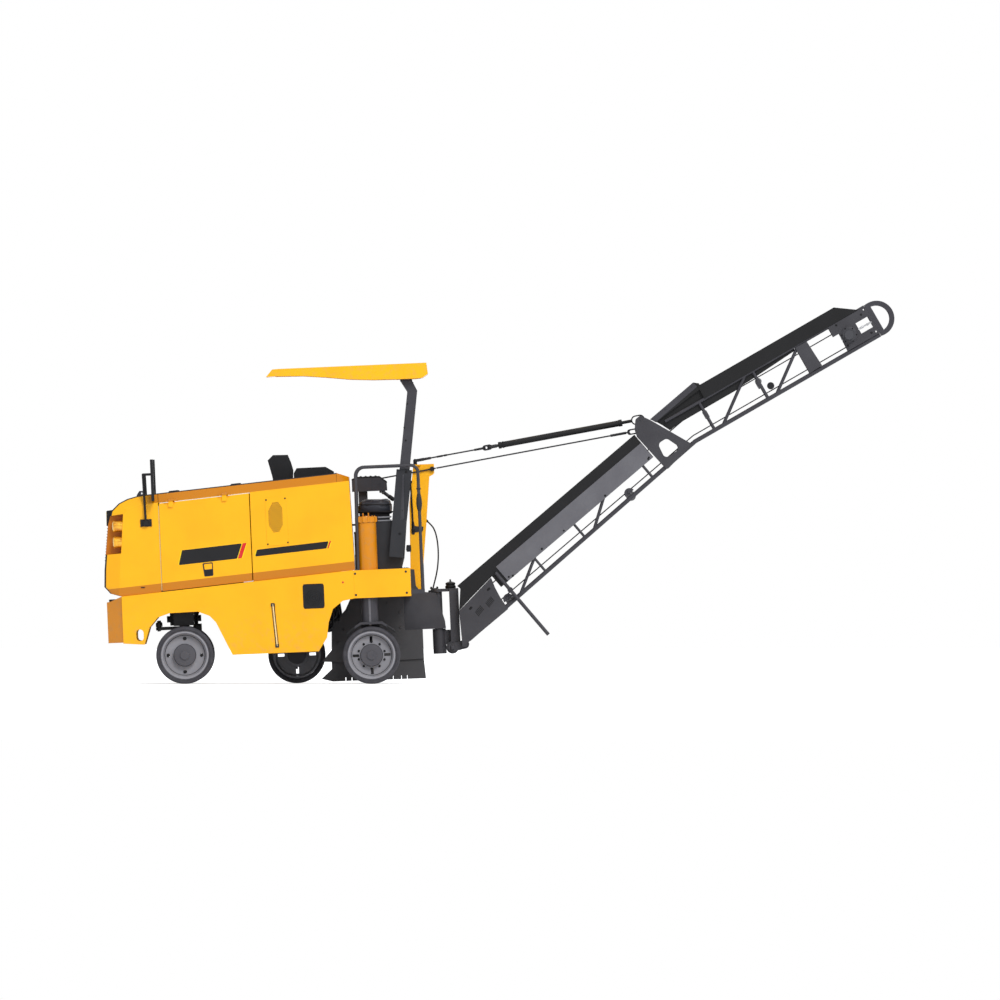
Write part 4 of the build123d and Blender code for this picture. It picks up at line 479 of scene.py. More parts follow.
def grille_paint():
    """Black louvre plastic in the middle, and a deeper yellow on the lamp pockets' walls beside it as a
    painted shade.
    """
    f = Finish("grille_two_tone", paint(16, 16, 19), 0.5)
    lowest, highest = POCKET_HEIGHTS
    pocket = f.over(f.height(), lowest, 0.002) * (1 - f.over(f.height(), highest, 0.002))
    # Painted shade: the pocket walls take the deeper yellow.
    shaded_pocket_wall = f.over(f.without_sign(f.place(1)), POCKET_WALL, 0.0005) * pocket
    cloud = f.grain(90, 3)
    plastic = f.blend(cloud * 0.3, paint(16, 16, 19), paint(32, 32, 35))
    f.set("Base Color", f.blend(shaded_pocket_wall, plastic, DEEP_AND_SHADED_YELLOW))
    f.set("Roughness", 0.5 - shaded_pocket_wall * 0.2 + cloud * 0.1)
    f.soft_edges(0.003, cloud, 0.1, 0.0006)


grille_paint()
hood_paint()


def roller_finish():
    """Ground steel between the conveyor's sides, dark coat on the drive outside them."""
    f = Finish("roller_and_drive", paint(120, 121, 124), 0.4)
    outside = f.over(f.without_sign(f.place(1) - BELT_Y / 1000), 0.2195, 0.001)
    lines = f.grain(60, 4, (1, 20, 1))
    steel = f.blend(lines * 0.4, paint(112, 113, 116), paint(80, 76, 70))
    f.set("Base Color", f.blend(outside, steel, paint(66, 66, 70)))
    f.set("Metallic", 0.85 - outside * 0.85)
    f.set("Roughness", 0.36 + lines * 0.15)
    f.soft_edges(0.002, lines, 0.12, 0.0005)


roller_finish()
print("finishes:", len(FINISHES))

# %% [markdown]
# ## Dressing the drawn parts
# Each drawn part gets the finish that its maker would give it. A table is the plainest way: one line
# to a finish, and the parts that wear it.

# %% Finish each drawn part
WORN_BY = {
    "yellow_paint": "skirts rear_deck mast",
    "hood_black_top_and_painted_shade": "nose_cowl rear_hood engine_door_left engine_door_right hood_top",
    # the deeper yellow on the columns and the bumper is a painted shade
    "column_painted_shade": "lifting_columns front_bumper",
    "lug_grey": "lifting_lugs",
    "roof_gelcoat": "canopy",
    "grille_two_tone": "front_grille",
    "black_coat": "mirrors front_axle_beam steering_knuckle_left steering_knuckle_right "
    "tie_rod chassis_frame hose_sockets stay_swivel wire_guide",
    "deep_black_coat": "side_boards luff_cylinder",
    "moulded_black": "air_intake",
    "console_grey": "seat_base",
    "dark_grey_coat": "control_console handrails canopy_posts conveyor_chords discharge_hoop "
    "conveyor_stand lifting_legs swing_leg",
    "bracket_grey_coat": "slew_bracket slew_yoke conveyor_plates",
    "cover_grey_coat": "cover_panels",
    "housing_coat": "drum_housing side_plate_left side_plate_right",
    "rim_grey_coat": "front_left_rim front_right_rim rear_left_rim rear_right_rim",
    "tyre_rubber": "front_left_tyre front_right_tyre rear_left_tyre rear_right_tyre",
    "belt_rubber": "conveyor_belt",
    "roller_and_drive": "belt_rollers",
    "steel_rope": "upper_stay safety_wire wire_tail",
    "drum_steel": "cutter_drum",
    "cast_block": "engine_block",
    "hose_rubber": "mast_hose",
    "seat_cover": "seat_cushion",
    "lamp_gold": "headlamps",
}
for finish, wearers in WORN_BY.items():
    for part in wearers.split():
        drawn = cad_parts[part]
        drawn.data.materials.clear()
        drawn.data.materials.append(FINISHES[finish])
undressed = set(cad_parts) - set(" ".join(WORN_BY.values()).split())
print("drawn parts without a finish:", sorted(undressed))

# %% [markdown]
# ## The hose down the mast
# A black hydraulic hose leaves a socket high on the mast, bows out to the rear and goes down into a
# socket on the bracket's shelf. It is one length of rubber with no straight runs, so it is a smooth
# curve with eleven points and a round bevel. Stiff hose leaves its socket straight, in line with it.

# %% Hose
HOSE_RADIUS = 0.007
HOSE_POINTS = [
    (0.6758, -0.352, 1.5090),
    (0.6363, -0.356, 1.4746),
    (0.6093, -0.360, 1.4277),
    (0.5918, -0.365, 1.3684),
    (0.5809, -0.370, 1.2988),
    (0.5758, -0.376, 1.2250),
    (0.5766, -0.382, 1.1489),
    (0.5835, -0.388, 1.0745),
    (0.5965, -0.392, 1.0019),
    (0.6137, -0.395, 0.9351),
    (0.6274, -0.396, 0.8795),
]
hose_data = bpy.data.curves.new("mast_hose_line", "CURVE")
hose_data.dimensions = "3D"
line = hose_data.splines.new("NURBS")
line.points.add(len(HOSE_POINTS) - 1)
for point, place in zip(line.points, HOSE_POINTS):
    point.co = (*place, 1)
line.order_u = 3
line.use_endpoint_u = True
line.resolution_u = 12
hose_data.bevel_depth = HOSE_RADIUS
hose_data.bevel_resolution = 4
hose_data.use_fill_caps = True
hose_data.materials.append(FINISHES["hose_rubber"])
hose = bpy.data.objects.new("mast_hose_line", hose_data)
bpy.context.scene.collection.objects.link(hose)
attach(hose, "machine")
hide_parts("mast_hose")
print("hose points:", len(HOSE_POINTS))

# %% [markdown]
# ## Mesh code for fittings
# Most fittings are folded sheet, turned parts, bent tube or bolts. One small class gathers those in a
# mesh, in millimetres in the body's level lines, and turns the mesh to metres when the piece is done.
# Its edges get a narrow bevel, as any cut or cast edge has, and curved faces are shaded smooth.

# %% Shape
TUBE_SIDES = 14
BAR_SIDES = 8


def circle(middle, across, over, radius, count):
    """Points round a middle, in the plane of two directions."""
    turns = [2 * pi * i / count for i in range(count)]
    return [middle + (across * cos(t) + over * sin(t)) * radius for t in turns]


class Shape:
    """The mesh of one fitting."""

    def __init__(self):
        self.mesh = bmesh.new()

    def points(self, rings):
        return [[self.mesh.verts.new(point) for point in ring] for ring in rings]

    def join(self, rings, after_them):
        """Faces between each ring and the one after it."""
        for ring, after in zip(rings, after_them):
            count = len(ring)
            for i in range(count):
                self.mesh.faces.new((ring[i], ring[(i + 1) % count], after[(i + 1) % count], after[i]))
        return self

    def loops(self, rings):
        """Joins rings of points with faces, and closes the two ends."""
        made = self.points(rings)
        self.join(made, made[1:])
        self.mesh.faces.new(list(reversed(made[0])))
        self.mesh.faces.new(made[-1])
        return self

    def closed(self, rings):
        """Joins rings of points with faces, the last ring to the first."""
        made = self.points(rings)
        return self.join(made, made[1:] + made[:1])

    def plate(self, outline, y0, y1):
        """A plate with its outline in X and Z."""
        return self.loops([[(x, y, z) for x, z in outline] for y in (y0, y1)])

    def block(self, x0, x1, y0, y1, z0, z1):
        return self.plate([(x0, z0), (x1, z0), (x1, z1), (x0, z1)], y0, y1)

    def turned(self, centre, axis, profile, sides=28):
        """A turned part. profile lists (distance along the axis, radius)."""
        axis = Vector(axis).normalized()
        side = axis.orthogonal().normalized()
        other = axis.cross(side)
        centre = Vector(centre)
        rings = [circle(centre + axis * along, side, other, radius, sides) for along, radius in profile]
        return self.loops(rings)

    def tube(self, points, radius, sides=TUBE_SIDES):
        """A round tube through points, mitred at its corners."""
        points = [Vector(p) for p in points]
        rings = []
        side = (points[1] - points[0]).orthogonal().normalized()
        for i, point in enumerate(points):
            before = (point - points[i - 1]).normalized() if i else (points[1] - point).normalized()
            after = (points[i + 1] - point).normalized() if i + 1 < len(points) else before
            along = (before + after).normalized()
            side = (side - along * side.dot(along)).normalized()
            rings.append(circle(point, side, along.cross(side), radius, sides))
        return self.loops(rings)

    def ring(self, centre, axis, radius, thick, sides=36):
        """A round bar bent to a full ring."""
        axis = Vector(axis).normalized()
        side = axis.orthogonal().normalized()
        centre = Vector(centre)
        ways_out = circle(Vector((0, 0, 0)), side, axis.cross(side), 1, sides)
        return self.closed([circle(centre + out * radius, out, axis, thick, BAR_SIDES) for out in ways_out])

    def panel(self, outline, side, inner, outer):
        """A plate on the body's left or right, between two distances out from the sheet metal's face."""
        return self.plate(outline, side * (SIDE + inner), side * (SIDE + outer))

    def bolt(self, centre, axis, size=9.0, high=7.0):
        """A hexagon head on its washer."""
        self.turned(centre, axis, [(0, size * 1.35), (size * 0.2, size * 1.35)], 20)
        return self.turned(centre, axis, [(size * 0.2, size), (high - 1.2, size), (high, size * 0.85)], 6)

    def bolts(self, spots, y, side, size, high):
        """Bolts at points in X and Z, all in one upright face."""
        for x, z in spots:
            self.bolt((x, y, z), (0, side, 0), size, high)
        return self

    def done(self, name, rides_on, finish, bevel=1.2, in_metres=False):
        """Turns the mesh to metres and makes the piece."""
        if not in_metres:
            for vert in self.mesh.verts:
                vert.co = body(*vert.co)
        bmesh.ops.recalc_face_normals(self.mesh, faces=self.mesh.faces)
        for edge in self.mesh.edges:
            edge.smooth = len(edge.link_faces) == 2 and edge.calc_face_angle(3.0) < radians(32)
        for face in self.mesh.faces:
            face.smooth = True
        data = bpy.data.meshes.new(name)
        self.mesh.to_mesh(data)
        self.mesh.free()
        data.materials.append(FINISHES[finish])
        piece = bpy.data.objects.new(name, data)
        bpy.context.scene.collection.objects.link(piece)
        if bevel:
            edges = piece.modifiers.new("edges", "BEVEL")
            edges.width = bevel / 1000
            edges.segments = 2
            edges.limit_method = "ANGLE"
            edges.angle_limit = radians(40)
        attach(piece, rides_on)
        return piece


def rounded(outline, radius, steps=5):
    """An outline with its corners rounded."""
    made = []
    count = len(outline)
    for i in range(count):
        here = Vector(outline[i])
        to_before = (Vector(outline[i - 1]) - here).normalized()
        to_after = (Vector(outline[(i + 1) % count]) - here).normalized()
        half = to_before.angle(to_after) / 2
        reach = radius / max(0.2, sin(half) / cos(half))
        start, end = here + to_before * reach, here + to_after * reach
        for k in range(steps + 1):
            t = k / steps
            made.append(tuple(start * (1 - t) ** 2 + here * 2 * t * (1 - t) + end * t**2))
    return made


SIDES = [("left", 1), ("right", -1)]
print("corners in a rounded square:", len(rounded([(0, 0), (9, 0), (9, 9), (0, 9)], 2)))

# %% [markdown]
# ## Bands on the hood
# Each side carries two black bands with a red tip, one on the engine door and one on the rear hood.
# They are films on the paint, so they are thin plates with rounded corners, on a slightly larger
# film of bright yellow that shows as a hairline. They bear no lettering.

# %% Bands
# name, what it rides on, its corners, the length of its red tip
BANDS = [
    ("door_band", "door", [(2939, 1229), (2903, 1366), (2299, 1411), (2351, 1270)], 44),
    ("hood_band", "machine", [(2227, 1279), (2206, 1342), (1512, 1396), (1538, 1329)], 22),
]
TIP_GAP = 6


def grown(outline, amount):
    """The outline's corners moved out from its middle, or in for a negative amount."""
    middle = sum((Vector(p) for p in outline), Vector((0, 0))) / len(outline)
    return [tuple(Vector(p) + (Vector(p) - middle).normalized() * amount) for p in outline]


for side_name, side in SIDES:
    for name, rides, corners, tip in BANDS:
        rides_on = "door_" + side_name if rides == "door" else "machine"
        front_low, front_high, rear_high, rear_low = [Vector(c) for c in corners]
        back = (rear_high - front_high).normalized()
        split_high, split_low = rear_high - back * tip, rear_low - back * tip
        edge = Shape().panel(rounded(grown(corners, 7), 16), side, 0, 0.4)
        edge.done(name + "_edge_" + side_name, rides_on, "stripe_yellow", 0)
        black = Shape().panel(rounded([front_low, front_high, split_high, split_low], 12), side, 0, 1)
        black.done(name + "_black_" + side_name, rides_on, "moulded_black", 0.2)
        red = [split_low + back * TIP_GAP, split_high + back * TIP_GAP, rear_high, rear_low]
        tip_film = Shape().panel(rounded(red, 5), side, 0, 1)
        tip_film.done(name + "_tip_" + side_name, rides_on, "stripe_red", 0.2)
print("bands:", [band[0] for band in BANDS])

# %% [markdown]
# ## Vent panel, latch and hood trim
# The rear hood has a bolted cover with a patch of small holes for the engine's air. Cutting hundreds
# of holes would only cost time, so each hole is a small black hexagon let into the plate, a painted
# shade where the hole would be. The door's latch is a moulded frame with a paddle, and a pale strip in
# the seam of the nose is a painted highlight. A black plate in the nose's slot is a painted shade.

# %% Vent panel, latch, painted highlight
VENT = [(2112, 1820), (1918, 1829), (1906, 1378), (2111, 1368)]
VENT_ROWS, VENT_COLUMNS = 27, 11
LATCH_FRAME = [on_hood(788, 96), on_hood(782, 222), on_hood(880, 222), on_hood(872, 96)]
LATCH_WINDOW = [on_hood(797, 160), on_hood(795, 212), on_hood(870, 212), on_hood(867, 160)]
LATCH_PADDLE = [on_hood(800, 106), on_hood(798, 152), on_hood(866, 152), on_hood(863, 106)]
NOSE_HIGHLIGHT_STRIP = [(3102.5, 1000), (3107, 1000), (3107, 1788), (3102.5, 1788)]
NOSE_SLOT = [(3298, 1041), (3298, 1031), (3261, 1030), (3261, 1040)]


def vent_holes():
    """Middles of the holes, in staggered rows, without the patch's corners."""
    for row in range(VENT_ROWS):
        shift = 0.5 if row % 2 else 0
        for column in range(VENT_COLUMNS):
            if abs(column - 5 + shift) + abs(row - 13) * 0.5 < 9.5:
                yield 1958 + (column + shift) * 12, 1508 + row * 10.4 - column * 1.2


for side_name, side in SIDES:
    door = "door_" + side_name
    cover = Shape().panel(rounded(VENT, 8), side, 0, 2.5)
    cover.done("vent_cover_" + side_name, "machine", "yellow_paint", 0.8)
    bolts = Shape().bolts(grown(VENT, -22), side * (SIDE + 2.5), side, 6, 5)
    bolts.done("vent_bolts_" + side_name, "machine", "deep_black_coat", 0.4)
    # Painted shade: each vent hole is a black hexagon where the hole would show dark.
    holes = Shape()
    for x, z in vent_holes():
        holes.turned((x, side * (SIDE + 2.2), z), (0, side, 0), [(0, 4.4), (0.6, 4.4)], 6)
    holes.done("vent_holes_" + side_name, "machine", "deep_black_coat", 0)
    latch = Shape().panel(rounded(LATCH_FRAME, 14), side, -1, 3)
    latch.done("latch_frame_" + side_name, door, "console_grey", 1.0)
    window = Shape().panel(rounded(LATCH_WINDOW, 8), side, 2, 3.6)
    window.done("latch_window_" + side_name, door, "yellow_paint", 0.4)
    paddle = Shape().panel(rounded(LATCH_PADDLE, 8), side, 2, 8)
    paddle.done("latch_paddle_" + side_name, door, "moulded_black", 1.6)
    # Painted highlight: the pale strip in the nose's seam.
    highlight_strip = Shape().panel(NOSE_HIGHLIGHT_STRIP, side, -9, -1.5)
    highlight_strip.done("nose_highlight_strip_" + side_name, "machine", "pale_tube_and_painted_highlight", 0.5)
    # Painted shade: the slot in the nose is a black plate where the slot would show dark.
    slot = Shape().panel(rounded(NOSE_SLOT, 4), side, -4, 0.6)
    slot.done("nose_slot_" + side_name, "machine", "deep_black_coat", 0.3)
print("vent bolts:", len(VENT) * 2)

# %% [markdown]
# ## Nose and headlamps
# The front has a black louvred grille, two small black marker housings at its upper corners, and two
# round lamps in a pocket on each side. A lamp is a shell with a golden bezel and a domed glass, which
# a turned profile gives directly. The slats follow the slope of the grille.

# %% Nose
GRILLE_FOOT = (3631, 1213)
GRILLE_LEAN = 48 / 409
BEZEL = [(-16, 52.3), (-14, 55), (-3, 55), (2, 52), (2, 45), (-1, 44)]
GLASS = [(0.5, 45), (4, 43), (8, 36), (11, 24), (12.5, 8), (12.6, 1)]
slats = Shape()
for k in range(15):
    z = 1300 + k * 27
    x = GRILLE_FOOT[0] - (z - GRILLE_FOOT[1]) * GRILLE_LEAN
    slats.plate([(x - 5, z - 9), (x + 6, z - 5), (x + 6, z + 3), (x - 5, z + 10)], -470, 470)
slats.done("grille_slats", "machine", "moulded_black", 1.5)
for side_name, side in SIDES:
    marker = Shape().plate([(3545, 1625), (3596, 1620), (3592, 1762), (3535, 1768)], side * 470, side * 536)
    marker.done("marker_housing_" + side_name, "machine", "moulded_black", 6)
    ribs = Shape()
    for k in range(5):
        ribs.block(3590, 3597, side * 474, side * 532, 1640 + k * 24, 1650 + k * 24)
    ribs.done("marker_ribs_" + side_name, "machine", "lamp_lens", 1.5)
    bezels, glasses = Shape(), Shape()
    for z in (1466, 1614):
        centre = (3532, side * 599, z)
        bezels.turned(centre, (1, 0, 0), BEZEL, 40)
        glasses.turned(centre, (1, 0, 0), GLASS, 40)
    bezels.done("lamp_bezels_" + side_name, "machine", "lamp_gold", 0.6)
    glasses.done("lamp_glasses_" + side_name, "machine", "lamp_lens", 0)
hinge_blocks = Shape()
for side_name, side in SIDES:
    for run in (590, 1170):
        corners = [on_hood(run + off, rise) for off, rise in ((-48, 914), (-40, 926), (40, 926), (48, 914))]
        hinge_blocks.plate(corners, side * 540, side * 588)
hinge_blocks.done("top_hinge_blocks", "machine", "moulded_black", 2)

# %% [markdown]
# ## Skirt fittings
# Low on each skirt are a square black filler cover with rings pressed in it, a sight gauge for the
# water tank and a few bolts. The gauge is two dark end blocks with a pale tube between two guard
# bars. On the left all of them stand in the sheet or on it. The right skirt is cut open for the
# swinging leg and its column, so there the gauge, the cover's rear edge and the red reflector reach
# past the sheet. A fitting that is mirrored needs a look at its other side.

# %% Skirt
FILLER_COVER = [(1598, 775), (1598, 1001), (1798, 1001), (1798, 775)]
GAUGE_FOOT, GAUGE_TOP = (2054, 421), (2083, 841)
GAUGE_LEAN = (GAUGE_TOP[0] - GAUGE_FOOT[0]) / (GAUGE_TOP[1] - GAUGE_FOOT[1])
DECK_BOLTS = [(1304, 1081), (832, 1081), (1303, 883), (830, 884)]
DECK_JOINT = [(1300, 1100), (1300, 880), (1336, 880), (1336, 1100)]
for side_name, side in SIDES:
    face = side * SIDE
    tube_y = side * (SIDE + 4)
    cover = Shape().panel(rounded(FILLER_COVER, 26), side, -8, 1.5)
    cover.done("filler_cover_" + side_name, "machine", "moulded_black", 3)
    rings = Shape()
    for radius in (74, 56, 38, 16):
        rings.ring((1699, side * (SIDE + 1.5), 872), (0, 1, 0), radius, 3)
    rings.done("filler_rings_" + side_name, "machine", "deep_black_coat", 0)
    gauge_ends, gauge_bars = Shape(), Shape()
    for z in (812, 430):
        x = GAUGE_FOOT[0] + (z - GAUGE_FOOT[1]) * GAUGE_LEAN
        gauge_ends.block(x - 17, x + 17, side * (SIDE - 1), side * (SIDE + 9), z - 4, z + 28)
    for off in (-12, 12):
        gauge_bars.tube([(2054 + off, tube_y, 440), (2081 + off, tube_y, 830)], 2.6, 8)
    gauge_ends.done("gauge_ends_" + side_name, "machine", "console_grey", 2)
    gauge_bars.done("gauge_bars_" + side_name, "machine", "console_grey", 0)
    glass = Shape().tube([(2055, tube_y, 440), (2080, tube_y, 830)], 6, 12)
    glass.done("gauge_glass_" + side_name, "machine", "pale_tube_and_painted_highlight", 0)
    bolts = Shape().bolts(DECK_BOLTS, face, side, 8, 7)
    bolts.done("deck_bolts_" + side_name, "machine", "console_grey", 0.6)
    joint = Shape().panel(DECK_JOINT, side, -17, -12)
    joint.done("deck_joint_" + side_name, "machine", "yellow_paint", 0)
    reflector = Shape().turned((1420, face, 1006), (0, side, 0), [(0, 9), (3, 9), (5, 5)], 20)
    reflector.done("reflector_" + side_name, "machine", "stripe_red", 0.5)
print("gauge leans", round(GAUGE_LEAN, 3))

# %% [markdown]
# ## Wheels
# The tyres are solid rubber pressed on a steel rim. Each rim shows thin grooves, drawn as black rings
# that are a painted shade, a hub disc with a cap, and bolts: four on the front wheels, ten small ones
# round the hub on the rear wheels. They turn with the wheel, so each set rides on its wheel and is
# placed from the rim's own box.

# %% Wheels
WHEELS = [
    # wheel, side that its face looks to, bolts in a circle, their radius, their size
    ("front_left", 1, 4, 0.155, 0.011),
    ("front_right", -1, 4, 0.155, 0.011),
    ("rear_left", 1, 10, 0.126, 0.008),
    ("rear_right", -1, 10, 0.126, 0.008),
]
HUB_RIM = [(0, 0.042), (0.0036, 0.042), (0.0038, 0.03)]
HUB_BOSS = [(0, 0.018), (0.0058, 0.018), (0.006, 0.012)]
HUB_DISC = [(0, 0.102), (0.003, 0.1005), (0.004, 0.096)]
DISC_OUT, DISH_OUT = 0.0785, 0.030
GROOVE_SHADE_RINGS = [(0.103, 0.0765), (0.1865, 0.044), (0.040, 0.0815)]  # radius, how far out
BEADS = [(0.0985, 0.236, 0.0018), (0.0975, 0.250, 0.0014)]  # how far out, radius, half thickness
for wheel, side, count, bolt_circle, size in WHEELS:
    rides_on = "wheel_" + wheel
    rim_low, rim_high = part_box(wheel + "_rim")
    middle = (rim_low + rim_high) / 2
    rim_y = rim_high.y if side > 0 else rim_low.y
    disc_y = middle.y + side * DISC_OUT
    out = (0, side, 0)
    caps = Shape()
    caps.turned((middle.x, rim_y - side * 0.004, middle.z), out, HUB_RIM, 36)
    caps.turned((middle.x, rim_y - side * 0.006, middle.z), out, HUB_BOSS, 24)
    caps.done("hub_cap_" + wheel, rides_on, "rim_shadow_coat", 0.4, in_metres=True)
    disc = Shape().turned((middle.x, disc_y - side * 0.001, middle.z), out, HUB_DISC, 48)
    disc.done("hub_disc_" + wheel, rides_on, "rim_shadow_coat", 0.3, in_metres=True)
    bolts = Shape()
    dish_y = middle.y + side * DISH_OUT
    for k in range(count):
        turn = 2 * pi * (k + (0.5 if count > 4 else 0)) / count
        spot = (middle.x + bolt_circle * cos(turn), dish_y - side * 0.002, middle.z + bolt_circle * sin(turn))
        bolts.turned(spot, out, [(0, size * 1.4), (0.004, size * 1.4)], 20)
        bolts.turned(spot, out, [(0.004, size), (0.014, size), (0.016, size * 0.8)], 6)
    bolts.done("rim_bolts_" + wheel, rides_on, "deep_black_coat", 0.4, in_metres=True)
    # Painted shade: each groove is a black ring where the groove would show dark.
    groove_shade = Shape()
    for radius, stands in GROOVE_SHADE_RINGS:
        groove_shade.ring((middle.x, middle.y + side * stands, middle.z), (0, 1, 0), radius, 0.0026, 64)
    groove_shade.done("rim_groove_shade_" + wheel, rides_on, "deep_black_coat", 0, in_metres=True)
    for way in (1, -1):
        bead = Shape()
        for stands, radius, half in BEADS:
            bead.ring((middle.x, middle.y + way * stands, middle.z), (0, 1, 0), radius, half, 72)
        where = "outer" if way == side else "inner"
        bead.done(f"tyre_bead_{wheel}_{where}", rides_on, "tread_rubber", 0, in_metres=True)
print("wheels:", [wheel[0] for wheel in WHEELS])

# %% [markdown]
# ## Front axle and steering
# Behind the front wheels are the kingpin caps, the steering rod's ball joints with their nuts and a
# hydraulic cylinder along the axle beam. From outside only lumps of them show, but they fill the
# wheel arch, so the lumps are real fittings: turned joints, a cylinder with end caps, hose unions.

# %% Steering
WHEEL_RADIUS = 267.5
AXLE = level(2931, WHEEL_RADIUS)
KINGPIN_Y, KINGPIN_TOP = 385, AXLE[1] + 411
JACK_X, JACK_Z = AXLE[0] - 120, AXLE[1] + 240
JACK = [(0, 34), (6, 38), (40, 38), (40, 32), (380, 32), (380, 38), (414, 38), (420, 34)]
for side_name, side in SIDES:
    y = side * KINGPIN_Y
    knuckle = Shape()
    knuckle.turned((AXLE[0], y, 0.5 + KINGPIN_TOP), (0, 0, 1), [(0, 40), (8, 40), (12, 34)], 32)
    for dx, dy in ((-34, 0), (34, 0), (0, 34), (0, -34)):
        knuckle.bolt((AXLE[0] + dx, y + dy, KINGPIN_TOP), (0, 0, 1), 6, 6)
    knuckle.done("kingpin_cap_" + side_name, "knuckle_" + side_name, "black_coat", 0.8)
    joint = Shape()
    joint.turned((AXLE[0] + 235, y, AXLE[1] + 304), (0, 0, 1), [(0, 26), (6, 24), (10, 14), (24, 14)], 20)
    joint.done("rod_end_nut_" + side_name, "tie_rod", "black_coat", 0.8)
cylinder = Shape().turned((JACK_X, -210, JACK_Z), (0, 1, 0), JACK, 28)
for y in (-180, 180):
    cylinder.block(JACK_X - 40, JACK_X + 36, y - 12, y + 12, JACK_Z - 36, JACK_Z + 45)
cylinder.done("steering_cylinder", "machine", "black_coat", 1)
unions = Shape()
for y in (-150, 150):
    unions.turned((JACK_X, y, JACK_Z + 30), (0, 0, 1), [(0, 14), (16, 14), (16, 10), (34, 10)], 6)
    bends = [(JACK_X, y, JACK_Z + 60), (JACK_X, y * 0.94, JACK_Z + 112), (JACK_X - 30, y * 0.8, JACK_Z + 190)]
    unions.tube(bends, 8)
unions.done("steering_unions", "machine", "hose_rubber", 0.6)
print("axle centre:", [round(v) for v in AXLE])

# %% [markdown]
# ## Lifting column and leg
# Each column ends in a scalloped collar held by a ring of bolts, with two studs on top. Under the
# deck the left one's dark inner tube carries a guide strip with a bleed screw. A scallop is only a
# small turned boss set half into the collar, so a ring of bosses makes the edge.

# %% Columns
COLUMNS = [("left", level(1194, WHEEL_RADIUS)[0], 540), ("right", 1533, -603)]
COLLAR_BOLTS = 12
for side_name, x, y in COLUMNS:
    collar = Shape()
    collar.turned((x, y, 1548), (0, 0, 1), [(0, 93), (3, 98), (52, 98), (58, 94)], 48)
    bolts = Shape()
    for k in range(COLLAR_BOLTS):
        t = 2 * pi * (k + 0.5) / COLLAR_BOLTS
        collar.turned((x + 92 * cos(t), y + 92 * sin(t), 1556), (0, 0, 1), [(0, 14), (44, 14), (48, 11)], 16)
        bolts.bolt((x + 84 * cos(t), y + 84 * sin(t), 1606), (0, 0, 1), 6, 9)
    collar.done("column_collar_" + side_name, "machine", "column_painted_shade", 1)
    bolts.done("column_bolts_" + side_name, "machine", "column_painted_shade", 0.5)
    studs = Shape()
    for dx in (-24, 26):
        studs.turned((x + dx, y, 1605), (0, 0, 1), [(0, 9), (8, 9), (8, 6), (34, 6), (36, 4)], 12)
    studs.turned((x, y, 1604), (0, 0, 1), [(0, 44), (7, 42), (10, 30)], 32)
    studs.done("column_studs_" + side_name, "machine", "column_painted_shade", 0.5)
leg_x = COLUMNS[0][1]
strip = Shape()
strip.block(leg_x - 10, leg_x + 10, 606, 620, 596, 848)
strip.turned((leg_x, 618, 690), (0, 1, 0), [(0, 9), (4, 9), (6, 6)], 16)
strip.done("leg_guide_strip", "machine", "cover_grey_coat", 1)
guard = Shape()
for x0, z0, x1, z1 in ((leg_x + 150, 592, leg_x + 228, 532), (leg_x - 228, 532, leg_x - 150, 592)):
    guard.plate([(x0, z0), (x1, z1), (x1 - 6, z1 - 22), (x0 - 4, z0 - 20)], 452, 634)
guard.done("tyre_scrapers", "machine", "deep_black_coat", 2)
print("columns:", COLUMNS)

# %% [markdown]
# ## Operator's place
# The seat is a crowned pad with a raised rear edge on a black pan. Beside it are a console with a
# soft top pad, a lever with a pale collar, two louvre strips on the seat box and the hand rail's
# locking sleeves. The roof posts stand in sockets with a tapered rib and three bolts each.

# %% Console, louvres, sockets
PAD_OVER = [(1304, 1948), (1304, 1962), (1254, 1981), (1043, 1981)]
PAD_UNDER = [(974, 1927), (974, 1912), (1044, 1968), (1250, 1968)]
pad = Shape().plate(PAD_OVER + PAD_UNDER, -254, -56)
pad.done("console_pad", "machine", "moulded_black", 3)
panel = Shape()
for k in range(4):
    panel.turned((1080 + k * 46, -150, 1976), (0, 0, 1), [(0, 10), (9, 10), (11, 7)], 20)
panel.block(1010, 1030, -230, -80, 1880, 1912)
panel.done("console_switches", "machine", "moulded_black", 1)
lever = Shape()
start, end = Vector((1040, -160, 1850)), Vector((916, -160, 1751))
along = (end - start).normalized()
lever.turned(start + along * 2, along, [(0, 20), (6, 24), (16, 24), (20, 18)], 24)
lever.turned(start + along * 30, along, [(0, 19), (3, 21), (12, 21), (15, 18)], 24)
lever.done("lever_collar", "machine", "louvre_grey", 0.8)
grip = Shape().turned(start + along * 98, along, [(0, 17), (6, 20), (48, 20), (58, 17), (62, 10)], 24)
grip.done("lever_grip", "machine", "moulded_black", 1)
RIB_FOOT = [(826, 1985), (812, 1985), (838, 1560), (866, 1560)]
SOCKET_BOLTS = [(790, 2006), (836, 1650), (873, 1435)]
SLEEVE_LONG = [(0, 16.5), (40, 25), (70, 27), (110, 25), (160, 16.5)]
MAT_RIBS = 22
